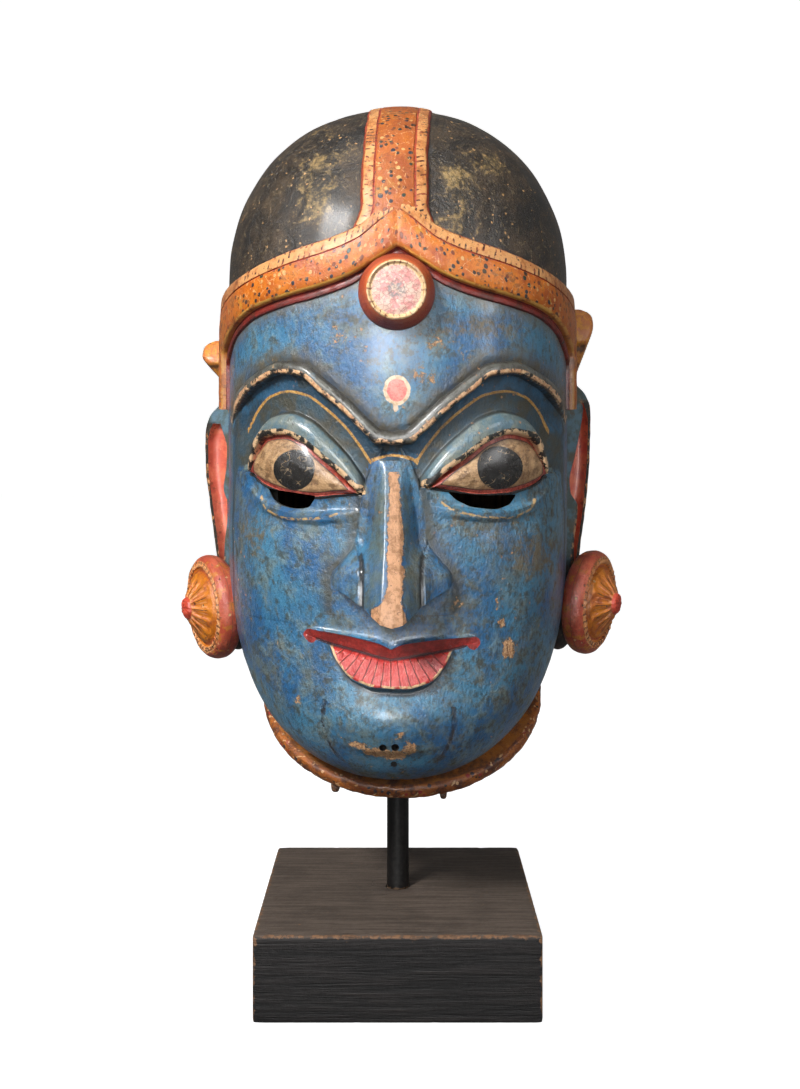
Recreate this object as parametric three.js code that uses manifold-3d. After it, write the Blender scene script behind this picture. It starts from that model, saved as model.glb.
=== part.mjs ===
// Carved and painted hollow wooden mask on a steel post and a square wooden plinth.
// Millimetres, +Z up. The face looks along -Y, and the origin is the middle of the plinth's underside.
import * as THREE from "three";
import { ParametricGeometry } from "three/addons/geometries/ParametricGeometry.js";
import { mergeVertices } from "three/addons/utils/BufferGeometryUtils.js";
import Module from "manifold-3d";

const PLINTH = { side: 150, height: 45, edge: 1.2 };
const ROD = { radius: 6.25, y: 3, socketDepth: 30, headroom: 2, sides: 32 };
const GAP = 0.3;
const WALL = 12;

// The head is a stack of level sections: an ellipse-like dome above, a rounded jaw below.
const HEAD = {
  halfWidth: 95,
  front: 98,
  back: 105,
  crown: { z: 483.7, y: -5 },
  domeZ: 385,
  domePower: 2.15,
  jawZ: 250,
  jawPower: 2.5,
  chin: { z: 124, y: -66, front: 95, roundZ: 166 },
  sectionPower: 2.3,
  backPower: 3,
};
// Half widths across the face, measured from the middle of the carving.
const FACE = { middleX: -2.5, halfWidth: 90, foreheadZ: 388 };
const COLLAR = { x: 2.5, y: 5, z: 160, radius: 79.5, tilt: 0.581, jawGap: 10, neckRadius: 69, holeRadius: 58 };
const STRAP = { halfWidth: 17.5, rise: 4.6, sink: 7, from: -1.42, to: 1.5 };
const DIADEM = { rise: 5, sink: 6, turnShare: 0.97, tail: 0.4, tailZ: 318, tailSpread: 0.13 };
const MEDALLION = { z: 374, radius: 19, faceRadius: 14.2, rise: 15 };
const EAR = {
  x: 91,
  y: -1,
  flare: 0.62,
  depth: 12,
  topZ: 318,
  rightLift: 12,
  lobeZ: 226,
  reach: 24,
  rim: 3.6,
  hollow: 6,
};
const DISC = { x: 107, y: -7, z: 207, radius: 29, turn: 0.5, tipRadius: 4.5 };
const TAB = { x: 90, y: -2, depth: 22, tipZ: 316, topZ: 357, rightLift: 18, reach: 22 };
const HAIR = { startY: 8, rise: 5, lowZ: 180, topZ: 365 };

const PAINT = {
  mask: { color: 0x2f6f9f, roughness: 0.45, metalness: 0 },
  rod: { color: 0x17181a, roughness: 0.4, metalness: 0.6 },
  plinth: { color: 0x2b2623, roughness: 0.6, metalness: 0 },
};

// A smooth curve through rising knots of [position, value] that never overshoots them.
function profile(knots) {
  const last = knots.length - 1;
  const secant = (i) => (knots[i + 1][1] - knots[i][1]) / (knots[i + 1][0] - knots[i][0]);
  const slopeAt = (i) => {
    if (i === 0) return secant(0);
    if (i === last) return secant(last - 1);
    const before = secant(i - 1);
    const after = secant(i);
    return before * after <= 0 ? 0 : (2 * before * after) / (before + after);
  };
  const slopes = knots.map((_, i) => slopeAt(i));
  return (x) => {
    if (x <= knots[0][0]) return knots[0][1];
    if (x >= knots[last][0]) return knots[last][1];
    const i = knots.findIndex((knot) => knot[0] > x) - 1;
    const span = knots[i + 1][0] - knots[i][0];
    const f = (x - knots[i][0]) / span;
    const g = f * f * (3 - 2 * f);
    const bend = f * (1 - f) * span;
    const line = knots[i][1] * (1 - g) + knots[i + 1][1] * g;
    return line + bend * ((1 - f) * slopes[i] - f * slopes[i + 1]);
  };
}

const mix = THREE.MathUtils.lerp;
const smooth = (x, from, to) =>
  from < to ? THREE.MathUtils.smoothstep(x, from, to) : 1 - THREE.MathUtils.smoothstep(x, to, from);
const rounding = (fraction, power) =>
  Math.pow(Math.max(0, 1 - Math.pow(Math.min(1, Math.abs(fraction)), power)), 1 / power);

// A closed surface from rings of points, each ring traced once round and the first and last closing it.
const skin = (at, around, rows) =>
  new ParametricGeometry((u, v, target) => at(1 - u, v, target), around, rows);

// ---- Head ----

const frontLine = profile([
  [HEAD.chin.roundZ, HEAD.chin.front],
  [200, 94],
  [250, 94],
  [300, 98],
  [340, 101],
  [HEAD.domeZ, HEAD.front],
]);

// Half width, widest place, front and back of the level section at height z, all inset by a wall.
function section(z, inset) {
  const dome = rounding(Math.max(0, z - HEAD.domeZ) / (HEAD.crown.z - HEAD.domeZ - inset), HEAD.domePower);
  const jaw = rounding(Math.max(0, HEAD.jawZ - z) / (HEAD.jawZ - HEAD.chin.z - inset), HEAD.jawPower);
  const chinReach = HEAD.chin.front + HEAD.chin.y - inset;
  const chinRound = rounding(
    Math.max(0, HEAD.chin.roundZ - z) / (HEAD.chin.roundZ - HEAD.chin.z - inset),
    2,
  );
  const middle = HEAD.crown.y * (1 - dome) + HEAD.chin.y * (1 - jaw);
  const domeFront = (HEAD.front + HEAD.crown.y - inset) * dome - HEAD.crown.y;
  const faceFront = z < HEAD.chin.roundZ ? chinReach * chinRound - HEAD.chin.y : frontLine(z) - inset;
  return {
    halfWidth: (HEAD.halfWidth - inset) * dome * jaw,
    middle,
    front: (z > HEAD.domeZ ? domeFront : faceFront) + middle,
    back: (HEAD.back - inset) * dome * jaw,
  };
}

// The point of a level section at angle a: 0 at the front, a quarter turn at the widest place.
function sectionPoint(z, a, inset) {
  const s = section(z, inset);
  const power = 2 / (Math.cos(a) > 0 ? HEAD.sectionPower : HEAD.backPower);
  const side = Math.sign(Math.sin(a)) * Math.pow(Math.abs(Math.sin(a)), power);
  const along = Math.pow(Math.abs(Math.cos(a)), power);
  const reach = Math.cos(a) > 0 ? -s.front : s.back;
  return new THREE.Vector3(s.halfWidth * side, s.middle + reach * along, z);
}

// Outward direction of the head's surface, from its two tangents.
function outward(z, a) {
  const step = 0.01;
  const round = sectionPoint(z, a + step, 0).sub(sectionPoint(z, a - step, 0));
  const up = sectionPoint(Math.min(z + 1, HEAD.crown.z - 1), a, 0).sub(sectionPoint(z - 1, a, 0));
  return round.cross(up).normalize();
}

const headPoint = (z, a, rise) => sectionPoint(z, a, 0).addScaledVector(outward(z, a), rise);

// The angle at which a section reaches a share of its half width.
const angleOf = (share) =>
  Math.sign(share) * Math.asin(Math.pow(Math.min(1, Math.abs(share)), HEAD.sectionPower / 2));

// ---- Carved lines of the face, as heights over the distance from its middle ----

const browLine = profile([
  [0, 304],
  [6, 305],
  [12, 309.5],
  [20, 318],
  [34, 331],
  [46, 339],
  [56, 341],
  [68, 338],
  [78, 332],
  [90, 318],
]);
const lidLine = profile([
  [12, 284],
  [22, 291],
  [36, 305],
  [50, 312.5],
  [62, 312.5],
  [72, 303],
  [79, 288],
]);
const eyeTop = profile([
  [18, 275],
  [28, 285.5],
  [40, 296],
  [52, 302.5],
  [64, 302.5],
  [72, 296],
  [77, 283],
]);
const eyeFoot = profile([
  [18, 274.5],
  [30, 273],
  [45, 271.5],
  [58, 273.5],
  [68, 277],
  [77, 282],
]);
const lipTop = profile([
  [0, 195.5],
  [5, 198],
  [14, 200],
  [36, 202.7],
  [45, 203.5],
]);
const lipLine = profile([
  [0, 190.3],
  [8, 192],
  [17, 194],
  [31, 196.8],
  [45, 200.5],
]);
const lipFoot = profile([
  [0, 176.5],
  [10, 177],
  [20, 180.5],
  [26, 188],
  [31, 196],
  [45, 199.5],
]);

const RELIEF = {
  brow: 2.4,
  socket: -3.2,
  bead: 1.4,
  ball: -2.4,
  ballRise: 3.4,
  lipRise: 3.6,
  ledge: 4.6,
};

// Heights and relief from the forehead down to the chin, at a distance t from the face's middle.
function stations(t) {
  const brow = smooth(t, 90, 82);
  const eye = smooth(t, 14, 19) * smooth(t, 80, 76);
  const socket = smooth(t, 88, 78);
  const lips = smooth(t, 45, 30);
  const lower = smooth(t, 33, 20);
  const cheek = smooth(t, 10, 50) * smooth(t, 90, 70);
  const b = browLine(t);
  const l = lidLine(t);
  const e = eyeTop(t);
  const f = eyeFoot(t);
  return [
    [mix(FACE.foreheadZ, b, 0.35), 0],
    [mix(FACE.foreheadZ, b, 0.7), 0],
    [b, 0],
    [b - 1.3, RELIEF.brow * brow],
    [b - 4.4, RELIEF.brow * brow],
    [b - 5.4, RELIEF.socket * 0.8 * socket],
    [mix(b - 5.4, l, 0.5), RELIEF.socket * 1.25 * socket],
    [l, RELIEF.socket * socket],
    [mix(l, e, 0.45), mix(RELIEF.socket * socket, RELIEF.bead, eye)],
    [e + 0.6, RELIEF.bead * eye + RELIEF.socket * socket * (1 - eye)],
    [e, RELIEF.ball * eye + RELIEF.socket * socket * (1 - eye)],
    [mix(e, f, 0.35), (RELIEF.ball + RELIEF.ballRise) * eye],
    [mix(e, f, 0.7), (RELIEF.ball + RELIEF.ballRise) * eye],
    [f, RELIEF.ball * eye],
    [f - 8.5, RELIEF.ball * eye],
    [f - 13, 0.6 * eye],
    [250, 1.2 * cheek],
    [238, 1.4 * cheek],
    [224, cheek],
    [212, 0.4 * cheek],
    [lipTop(t), 0],
    [lipTop(t) - 1.2 * lips, RELIEF.lipRise * 0.8 * lips],
    [lipLine(t) + 0.2, RELIEF.lipRise * 0.5 * lips],
    [lipLine(t) - 1.3 * lower, RELIEF.lipRise * lower],
    [mix(lipLine(t), lipFoot(t), 0.9), RELIEF.ledge * lower],
    [lipFoot(t) - 0.8, -0.8 * lower],
    [168, 0.4],
    [158, 2.2 * smooth(t, 36, 8)],
    [149, 2.2 * smooth(t, 36, 8)],
  ];
}

const domeHeights = [482.4, 478.5, 471, 460, 446, 429, 409, FACE.foreheadZ];
const chinHeights = [141, 134, 128.5, 125.2];
// Shares of the half width, from the middle of the face to its edge, then angles round to the back.
const faceShares = [0, 0.07, 0.13, 0.19, 0.25, 0.31, 0.37, 0.43, 0.5, 0.57, 0.63, 0.69, 0.75, 0.8, 0.84, 0.9];
const sideTurns = [1.32, 1.46, 1.57, 1.66, 1.74, 2.05, 2.35, 2.7];

function columnAngles() {
  const half = [...faceShares.map(angleOf), ...sideTurns];
  const mirrored = half.slice(1).reverse();
  return [...mirrored.map((a) => -a), ...half, Math.PI];
}

// Hair swells the sides behind the ears.
function hairRise(point) {
  const back = smooth(point.y, HAIR.startY - 2, HAIR.startY + 1);
  return HAIR.rise * back * smooth(point.z, HAIR.lowZ - 1, HAIR.lowZ) * smooth(point.z, HAIR.topZ, 300);
}

function headGeometry() {
  const angles = columnAngles();
  const facing = (a) => Math.abs(a) < sideTurns[2];
  const column = (a) => {
    const x = sectionPoint(300, a, 0).x - FACE.middleX * Math.cos(a);
    const t = facing(a) ? Math.abs(x) : FACE.halfWidth;
    return [...domeHeights.map((z) => [z, 0]), ...stations(t), ...chinHeights.map((z) => [z, 0])];
  };
  const columns = angles.map(column);
  const rows = columns[0].length + 1;
  const at = (u, v, target) => {
    const i = Math.round(u * angles.length) % angles.length;
    const j = Math.round(v * rows);
    if (j === 0) return target.set(0, HEAD.crown.y, HEAD.crown.z);
    if (j === rows) return target.set(0, HEAD.chin.y, HEAD.chin.z);
    const [z, rise] = columns[i][j - 1];
    const point = headPoint(z, angles[i], rise);
    point.addScaledVector(outward(z, angles[i]), hairRise(point));
    return target.copy(point);
  };
  return skin(at, angles.length, rows);
}

// The same head without its relief, inset by the wall.
function hollowGeometry() {
  const turns = 24;
  const stack = 14;
  const top = HEAD.crown.z - WALL;
  const foot = HEAD.chin.z + WALL;
  const at = (u, v, target) => {
    const a = (u - 0.5) * 2 * Math.PI;
    const z = mix(top, foot, 0.5 - 0.5 * Math.cos(v * Math.PI));
    return target.copy(sectionPoint(z, a, WALL));
  };
  return skin(at, turns, stack);
}

// ---- Nose ----

const noseRise = profile([
  [205, 31],
  [213, 30.5],
  [226, 27],
  [244, 19.5],
  [262, 12.5],
  [280, 6.5],
  [290, 3.4],
  [296, 0],
]);
const noseFoot = profile([
  [205, 30],
  [231, 31],
  [238, 25],
  [248, 19],
  [262, 17.5],
  [280, 13],
  [290, 9],
  [296, 5],
]);
const noseRidge = profile([
  [205, 7.5],
  [226, 6],
  [250, 4.2],
  [296, 3.2],
]);
const wingRise = profile([
  [205, 9],
  [236, 8.5],
  [248, 1.5],
  [262, 0.5],
]);

// Half section of the nose: [share of the way out, share of the rise, share of the wing].
const NOSE_SECTION = [
  [0, 1, 0],
  [1, 0.94, 0],
  [1.35, 0.5, 0.4],
  [1.62, 0.1, 1],
  [1.9, 0.02, 0.75],
  [2, -0.35, 0],
];

function nosePoint(z, k, side) {
  const [out, rise, wing] = NOSE_SECTION[k];
  const x = out < 1 ? noseRidge(z) * out : mix(noseRidge(z), noseFoot(z), out - 1);
  const height = noseRise(z) * rise + wingRise(z) * wing;
  return [FACE.middleX - 0.4 + side * x, -(frontLine(z) - (x * x) / 260 + height)];
}

function noseGeometry() {
  const levels = [296, 290, 280, 271, 262, 254, 247, 240, 234, 227, 220, 213, 205];
  const half = NOSE_SECTION.length - 1;
  const loop = 2 * half + 2;
  const inside = -70;
  const at = (u, v, target) => {
    const j = Math.round(v * (levels.length + 1));
    const z = levels[THREE.MathUtils.clamp(j - 1, 0, levels.length - 1)];
    const i = Math.round(u * loop) % loop;
    if (j === 0 || j === levels.length + 1) return target.set(FACE.middleX, -86, z);
    if (i === 0) return target.set(FACE.middleX, inside, z);
    const k = Math.abs(i - 1 - half);
    const [x, y] = nosePoint(z, k, Math.sign(i - 1 - half));
    return target.set(x, y, z);
  };
  return skin(at, loop, levels.length + 1);
}

// The slanting undersides of the nose: from the tip out to a wing and in to the lip.
function noseUndercut(side) {
  const tip = new THREE.Vector3(FACE.middleX + side * 4, -127, 210.5);
  const wing = new THREE.Vector3(FACE.middleX + side * 31, -96, 229);
  const root = new THREE.Vector3(FACE.middleX, -94, 222);
  const up = wing.clone().sub(tip).cross(root.clone().sub(tip)).normalize().multiplyScalar(side);
  const along = wing.clone().sub(tip).normalize();
  const basis = new THREE.Matrix4().makeBasis(along, up.clone().cross(along), up);
  const size = 120;
  const box = new THREE.BoxGeometry(size, size, size).translate(0, 0, -size / 2);
  return box.applyMatrix4(basis).translate(root.x, root.y, root.z);
}

// ---- Bands laid over the head ----

const bandTop = profile([
  [0, 424],
  [10, 416],
  [19, 408],
  [33, 402],
  [54, 396],
  [74, 389],
  [94, 379],
]);
const bandFoot = profile([
  [0, 397],
  [13, 388.5],
  [24, 382],
  [40, 376.5],
  [57, 372.5],
  [73, 367.5],
  [84, 360.5],
  [94, 345],
]);

// Across a band: [share across, share of the rise].
const BAND_SECTION = [
  [0, -1],
  [0, 0.35],
  [0.12, 0.8],
  [0.5, 1],
  [0.86, 0.85],
  [1, 0.2],
  [1, -1],
];

// The band's two edges, along the front and then down in front of the ear to a narrow end.
function diademEdges(along) {
  const share = Math.min(1, Math.abs(along)) * DIADEM.turnShare;
  const tail = Math.max(0, Math.abs(along) - 1) / DIADEM.tail;
  const a = angleOf(share) * Math.sign(along);
  const x = share * HEAD.halfWidth;
  const spread = DIADEM.tailSpread * Math.sign(along) * Math.sqrt(tail);
  return [
    [mix(bandTop(x), DIADEM.tailZ, tail), a + spread],
    [mix(bandFoot(x), DIADEM.tailZ, Math.pow(tail, 0.7)), a + spread * 0.15],
  ];
}

function diademGeometry() {
  const steps = 42;
  const around = BAND_SECTION.length;
  const at = (u, v, target) => {
    const most = 1 + DIADEM.tail;
    const along = (0.5 - v) * 2 * most * (steps / (steps - 2));
    const [top, foot] = diademEdges(THREE.MathUtils.clamp(along, -most, most));
    const i = Math.round(u * around) % around;
    const [across, lift] = BAND_SECTION[i];
    const end = v < 0.01 || v > 0.99;
    const z = end ? mix(top[0], foot[0], 0.5) : mix(top[0], foot[0], across);
    const a = end ? mix(top[1], foot[1], 0.5) : mix(top[1], foot[1], across);
    const rise = lift < 0 ? lift * DIADEM.sink : lift * DIADEM.rise;
    return target.copy(headPoint(z, a, end ? -DIADEM.sink / 2 : rise));
  };
  return skin(at, around, steps);
}

const STRAP_SECTION = [
  [-1, -1],
  [-1, 0.35],
  [-0.88, 0.85],
  [-0.4, 1],
  [0.4, 1],
  [0.88, 0.85],
  [1, 0.35],
  [1, -1],
];

// The strap runs over the middle of the dome, from the hair band to the back of the head.
function strapGeometry() {
  const steps = 25;
  const around = STRAP_SECTION.length;
  const at = (u, v, target) => {
    const turn = mix(STRAP.from, STRAP.to, THREE.MathUtils.clamp((v * steps - 1) / (steps - 2), 0, 1));
    const reach = turn < 0 ? HEAD.front + HEAD.crown.y : HEAD.back;
    const rise = HEAD.crown.z - HEAD.domeZ;
    const power = 2 / HEAD.domePower;
    const out = Math.sign(turn) * Math.pow(Math.abs(Math.sin(turn)), power) * reach;
    const base = new THREE.Vector2(HEAD.crown.y + out, HEAD.domeZ + Math.pow(Math.cos(turn), power) * rise);
    const normal = new THREE.Vector2(Math.sin(turn) / reach, Math.cos(turn) / rise).normalize();
    const end = v < 0.01 || v > 0.99;
    const [across, lift] = end ? [0, -0.5] : STRAP_SECTION[Math.round((1 - u) * around) % around];
    const x = across * STRAP.halfWidth;
    const sag = (x * x) / (2 * HEAD.halfWidth);
    const height = (lift < 0 ? lift * STRAP.sink : lift * STRAP.rise) - sag;
    const lean = mix(2, -2, smooth(turn, 0, -1.2));
    return target.set(x + lean, base.x + normal.x * height, base.y + normal.y * height);
  };
  return skin(at, around, steps);
}

// ---- Turned and cut-out ornaments ----

const lathe = (points, sides) =>
  new THREE.LatheGeometry(
    points.map(([r, h]) => new THREE.Vector2(r, h)),
    sides,
  );

function medallionGeometry() {
  const m = MEDALLION;
  const base = -(HEAD.front - 10);
  const outline = [
    [0, 0],
    [m.radius, 0],
    [m.radius, m.rise * 0.9],
    [m.radius - 1, m.rise * 1.05],
    [m.faceRadius + 1.2, m.rise * 1.55],
    [m.faceRadius, m.rise * 1.6],
    [m.faceRadius - 1, m.rise * 1.52],
    [0, m.rise * 1.56],
  ];
  return lathe(outline, 20).rotateX(Math.PI).translate(-0.5, base, m.z);
}

function discGeometry(side) {
  const d = DISC;
  const outline = [
    [0, -11],
    [14, -11],
    [24, -7.5],
    [d.radius - 1, -4.5],
    [d.radius, -0.5],
    [d.radius - 1.4, 3.4],
    [24.5, 5.8],
    [20.5, 5.2],
    [19.3, 6.8],
    [d.tipRadius + 1, 13.6],
    [d.tipRadius - 1, 16.2],
    [0, 17],
  ];
  const turned = lathe(outline, 24).rotateZ(-Math.PI / 2);
  turned.rotateZ(side > 0 ? -d.turn : Math.PI + d.turn);
  return turned.translate(side * d.x + 2, d.y, d.z);
}

// The lobe that carries a disc, inside the ear's outline.
const lobeGeometry = (side) =>
  new THREE.SphereGeometry(14, 14, 8).scale(0.85, 1, 1.9).translate(side * 92, 8, DISC.z - 1);

function extrude(outline, depth, bevel) {
  return new THREE.ExtrudeGeometry(outline, {
    depth: depth - 2 * bevel,
    bevelEnabled: bevel > 0,
    bevelThickness: bevel,
    bevelSize: bevel,
    bevelOffset: -bevel,
    bevelSegments: 1,
    curveSegments: 5,
  })
    .translate(0, 0, bevel - depth)
    .rotateX(Math.PI / 2);
}

// An ear seen from the front: x outward from the head, y up. The margin shrinks it to its hollow.
function earOutline(lift, margin) {
  const top = EAR.topZ + lift;
  const low = EAR.lobeZ;
  const reach = EAR.reach - margin;
  const root = margin > 0 ? 1.5 : -8;
  const shape = new THREE.Shape();
  shape.moveTo(root, top - margin * 2.4);
  shape.quadraticCurveTo(reach * 0.75, top - margin * 2, reach, top - 20 - margin);
  shape.bezierCurveTo(reach + 1.5, top - 42, reach - 2, low + 34, reach * 0.62, low + margin);
  shape.lineTo(root, low + margin);
  if (margin > 0) shape.quadraticCurveTo(reach * 0.42, mix(low, top, 0.5), root, mix(low, top, 0.68));
  shape.closePath();
  return shape;
}

function mirrorTo(side, geometry) {
  if (side > 0) return geometry;
  const index = geometry.index ? geometry : mergeVertices(geometry);
  index.scale(-1, 1, 1);
  const order = index.index.array;
  for (let i = 0; i < order.length; i += 3) [order[i + 1], order[i + 2]] = [order[i + 2], order[i + 1]];
  return index;
}

function earGeometries(side) {
  const lift = side > 0 ? EAR.rightLift : 0;
  const place = (geometry) => mirrorTo(side, geometry.rotateZ(EAR.flare).translate(EAR.x, EAR.y, 0));
  const body = extrude(earOutline(lift, 0), EAR.depth, 1.2);
  const hollow = extrude(earOutline(lift, EAR.rim), 30, 0).translate(0, EAR.hollow - 30, 0);
  return [place(body), place(hollow)];
}

// A small folded wedge above each ear, wide above and pointed below.
function tabGeometry(side) {
  const lift = side > 0 ? TAB.rightLift : 0;
  const shape = new THREE.Shape();
  shape.moveTo(-4, TAB.topZ + lift + 2);
  shape.lineTo(TAB.reach - 4, TAB.topZ + lift - 3);
  shape.quadraticCurveTo(TAB.reach, TAB.topZ + lift - 4, TAB.reach, TAB.topZ + lift - 10);
  shape.lineTo(7, TAB.tipZ);
  shape.lineTo(-4, TAB.tipZ);
  shape.closePath();
  return mirrorTo(side, extrude(shape, TAB.depth, 1).translate(TAB.x, TAB.y, 0));
}

// ---- Neck, collar and cuts ----

const tilted = (geometry) => geometry.rotateX(COLLAR.tilt).translate(COLLAR.x, COLLAR.y, COLLAR.z);

function collarGeometry() {
  const c = COLLAR;
  const outline = [
    [c.neckRadius, 34],
    [c.neckRadius, 1.6],
    [c.radius - 7, 0.4],
    [c.radius - 1.4, 0],
    [c.radius, -2.5],
    [c.radius - 0.8, -6.5],
    [c.radius - 4, -8.6],
    [c.holeRadius, -8.6],
    [c.holeRadius, 34],
    [c.neckRadius, 34],
  ];
  return tilted(lathe(outline.reverse(), 40).rotateX(Math.PI / 2));
}

const tiltedBlock = (fromHeight, size) =>
  tilted(new THREE.BoxGeometry(size, size, size).translate(0, 0, fromHeight - size / 2));

const neckHole = () =>
  tilted(new THREE.CylinderGeometry(COLLAR.holeRadius, COLLAR.holeRadius, 60, 40).rotateX(Math.PI / 2));

// A see-slit under an eye, right through the wall.
function slitGeometry(side) {
  const inner = side > 0 ? 27 : -44;
  const outer = side > 0 ? 59 : -67;
  const shape = new THREE.Shape();
  shape.moveTo(inner, 272.4);
  shape.quadraticCurveTo(mix(inner, outer, 0.5), 272, outer, 274.5);
  shape.quadraticCurveTo(mix(inner, outer, 0.55), 261.5, inner, 267.5);
  shape.closePath();
  return extrude(shape, 60, 0).translate(0, -120, 0);
}

// ---- Solids ----

const wasm = await Module();
wasm.setup();

function solidOf(geometry) {
  const bare = geometry.clone();
  bare.deleteAttribute("normal");
  bare.deleteAttribute("uv");
  const merged = mergeVertices(bare, 1e-3);
  const order = merged.index.array;
  const kept = [];
  for (let i = 0; i < order.length; i += 3) {
    const [a, b, c] = [order[i], order[i + 1], order[i + 2]];
    if (a !== b && b !== c && c !== a) kept.push(a, b, c);
  }
  const mesh = new wasm.Mesh({
    numProp: 3,
    vertProperties: merged.attributes.position.array,
    triVerts: new Uint32Array(kept),
  });
  return new wasm.Manifold(mesh);
}

const join = (solids) => solids.reduce((whole, solid) => whole.add(solid));

function node(name, solid) {
  const { vertProperties, triVerts } = solid.getMesh();
  const geometry = new THREE.BufferGeometry();
  geometry.setAttribute("position", new THREE.BufferAttribute(vertProperties, 3));
  geometry.setIndex(new THREE.BufferAttribute(triVerts, 1));
  const mesh = new THREE.Mesh(geometry, new THREE.MeshStandardMaterial(PAINT[name]));
  mesh.name = name;
  return mesh;
}

function maskSolid() {
  const sides = [-1, 1];
  const nose = sides.reduce((cut, side) => cut.subtract(solidOf(noseUndercut(side))), solidOf(noseGeometry()));
  const shell = solidOf(headGeometry()).subtract(solidOf(tiltedBlock(COLLAR.jawGap, 400)));
  const added = [nose, strapGeometry(), diademGeometry(), medallionGeometry(), collarGeometry()];
  const ears = sides.map((side) => {
    const [body, hollow] = earGeometries(side).map(solidOf);
    return body.subtract(hollow);
  });
  const pairs = sides.flatMap((side) => [lobeGeometry(side), discGeometry(side), tabGeometry(side)]);
  const outside = join([shell, ...ears, ...[...added, ...pairs].map((g) => (g.isBufferGeometry ? solidOf(g) : g))]);
  const hollow = solidOf(hollowGeometry()).subtract(solidOf(tiltedBlock(COLLAR.jawGap + 10, 400)));
  const cuts = [hollow, neckHole(), ...sides.map(slitGeometry)];
  return cuts.reduce((left, cut) => left.subtract(cut.isBufferGeometry ? solidOf(cut) : cut), outside);
}

function plinthSolid() {
  const p = PLINTH;
  const half = p.side / 2 - p.edge;
  const outline = new THREE.Shape();
  outline.moveTo(-half, -half);
  outline.lineTo(half, -half);
  outline.lineTo(half, half);
  outline.lineTo(-half, half);
  outline.closePath();
  const block = new THREE.ExtrudeGeometry(outline, {
    depth: p.height - 2 * p.edge,
    bevelThickness: p.edge,
    bevelSize: p.edge,
    bevelSegments: 2,
  }).translate(0, 0, p.edge);
  const radius = ROD.radius + GAP;
  const hole = new THREE.CylinderGeometry(radius, radius, ROD.socketDepth * 2, ROD.sides)
    .rotateX(Math.PI / 2)
    .translate(0, ROD.y, p.height);
  return solidOf(block).subtract(solidOf(hole));
}

function rodSolid() {
  const foot = PLINTH.height - ROD.socketDepth + GAP;
  const top = HEAD.crown.z - WALL - ROD.headroom;
  return solidOf(
    new THREE.CylinderGeometry(ROD.radius, ROD.radius, top - foot, ROD.sides)
      .rotateX(Math.PI / 2)
      .translate(0, ROD.y, (top + foot) / 2),
  );
}

const part = new THREE.Group();
part.add(node("mask", maskSolid()), node("rod", rodSolid()), node("plinth", plinthSolid()));

export default part;
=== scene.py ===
"""Carved and painted hollow wooden mask on a steel post and a square wooden plinth.

Surfaces are worked out in millimetres and stored in metres. +Z is up, the face looks along -Y, and the
origin is the middle of the plinth's underside.
"""
import math

import bpy
import numpy as np
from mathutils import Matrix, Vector


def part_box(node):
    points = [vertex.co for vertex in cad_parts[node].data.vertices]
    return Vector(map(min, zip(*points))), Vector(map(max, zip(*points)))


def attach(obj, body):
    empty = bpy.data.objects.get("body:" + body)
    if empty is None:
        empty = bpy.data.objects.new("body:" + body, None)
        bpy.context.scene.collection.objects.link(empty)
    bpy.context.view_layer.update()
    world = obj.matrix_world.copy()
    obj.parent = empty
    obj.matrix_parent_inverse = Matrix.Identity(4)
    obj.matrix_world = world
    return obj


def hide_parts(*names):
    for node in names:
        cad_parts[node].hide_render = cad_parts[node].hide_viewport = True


MM = 0.001

# ---- The head's sizes, in millimetres ----
WALL = 12.0
HALF_WIDTH = 95.0
BACK_REACH = 105.0
CROWN_Z, CROWN_Y = 483.7, -5.0
DOME_Z, DOME_POWER = 385.0, 2.15
DOME_FRONT = 98.0
JAW_Z, JAW_POWER = 250.0, 2.5
CHIN_Z, CHIN_Y, CHIN_FRONT, CHIN_ROUND_Z = 124.0, -66.0, 95.0, 166.0
FRONT_POWER, BACK_POWER = 2.3, 3.0
FACE_X = -2.5
MOUTH_X = -3.3
LEFT_STRETCH, RIGHT_STRETCH = 1.04, 0.965
FOREHEAD_Z = 388.0
HAIR_Y, HAIR_RISE, HAIR_LOW, HAIR_HIGH = 8.0, 5.0, 180.0, 365.0

# ---- The collar's plane ----
COLLAR_CENTRE = np.array([2.5, 5.0, 160.0])
COLLAR_TILT = 0.581
COLLAR_RADIUS, NECK_RADIUS, HOLE_RADIUS = 79.5, 69.0, 58.0
JAW_GAP = 10.0


# ---- Curves and surfaces ----
def smooth(x, start, end):
    """0 at start and 1 at end, with level ends: f*f*(3-2f)."""
    f = np.clip((x - start) / (end - start), 0.0, 1.0)
    return f * f * (3.0 - 2.0 * f)


def mix(a, b, f):
    return a * (1.0 - f) + b * f


def hermite_slopes(at, value):
    """Slopes of a curve that never overshoots its knots: the harmonic mean of the two secants."""
    run = np.diff(at).reshape((-1,) + (1,) * (value.ndim - 1))
    secant = np.diff(value, axis=0) / run
    before, after = secant[:-1], secant[1:]
    turns = before * after <= 0
    inner = np.where(turns, 0.0, 2.0 * before * after / np.where(turns, 1.0, before + after))
    return np.concatenate([secant[:1], inner, secant[-1:]])


def curve(*knots):
    """A function through (position, value) knots, smooth and without overshoot."""
    at = np.array([knot[0] for knot in knots], float)
    value = np.array([knot[1] for knot in knots], float)
    slope = hermite_slopes(at, value)

    def read(x):
        x = np.clip(x, at[0], at[-1])
        i = np.clip(np.searchsorted(at, x, side="right") - 1, 0, len(at) - 2)
        span = at[i + 1] - at[i]
        f = (x - at[i]) / span
        g = f * f * (3.0 - 2.0 * f)
        bend = f * (1.0 - f) * span
        return mix(value[i], value[i + 1], g) + bend * ((1.0 - f) * slope[i] - f * slope[i + 1])

    return read


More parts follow.
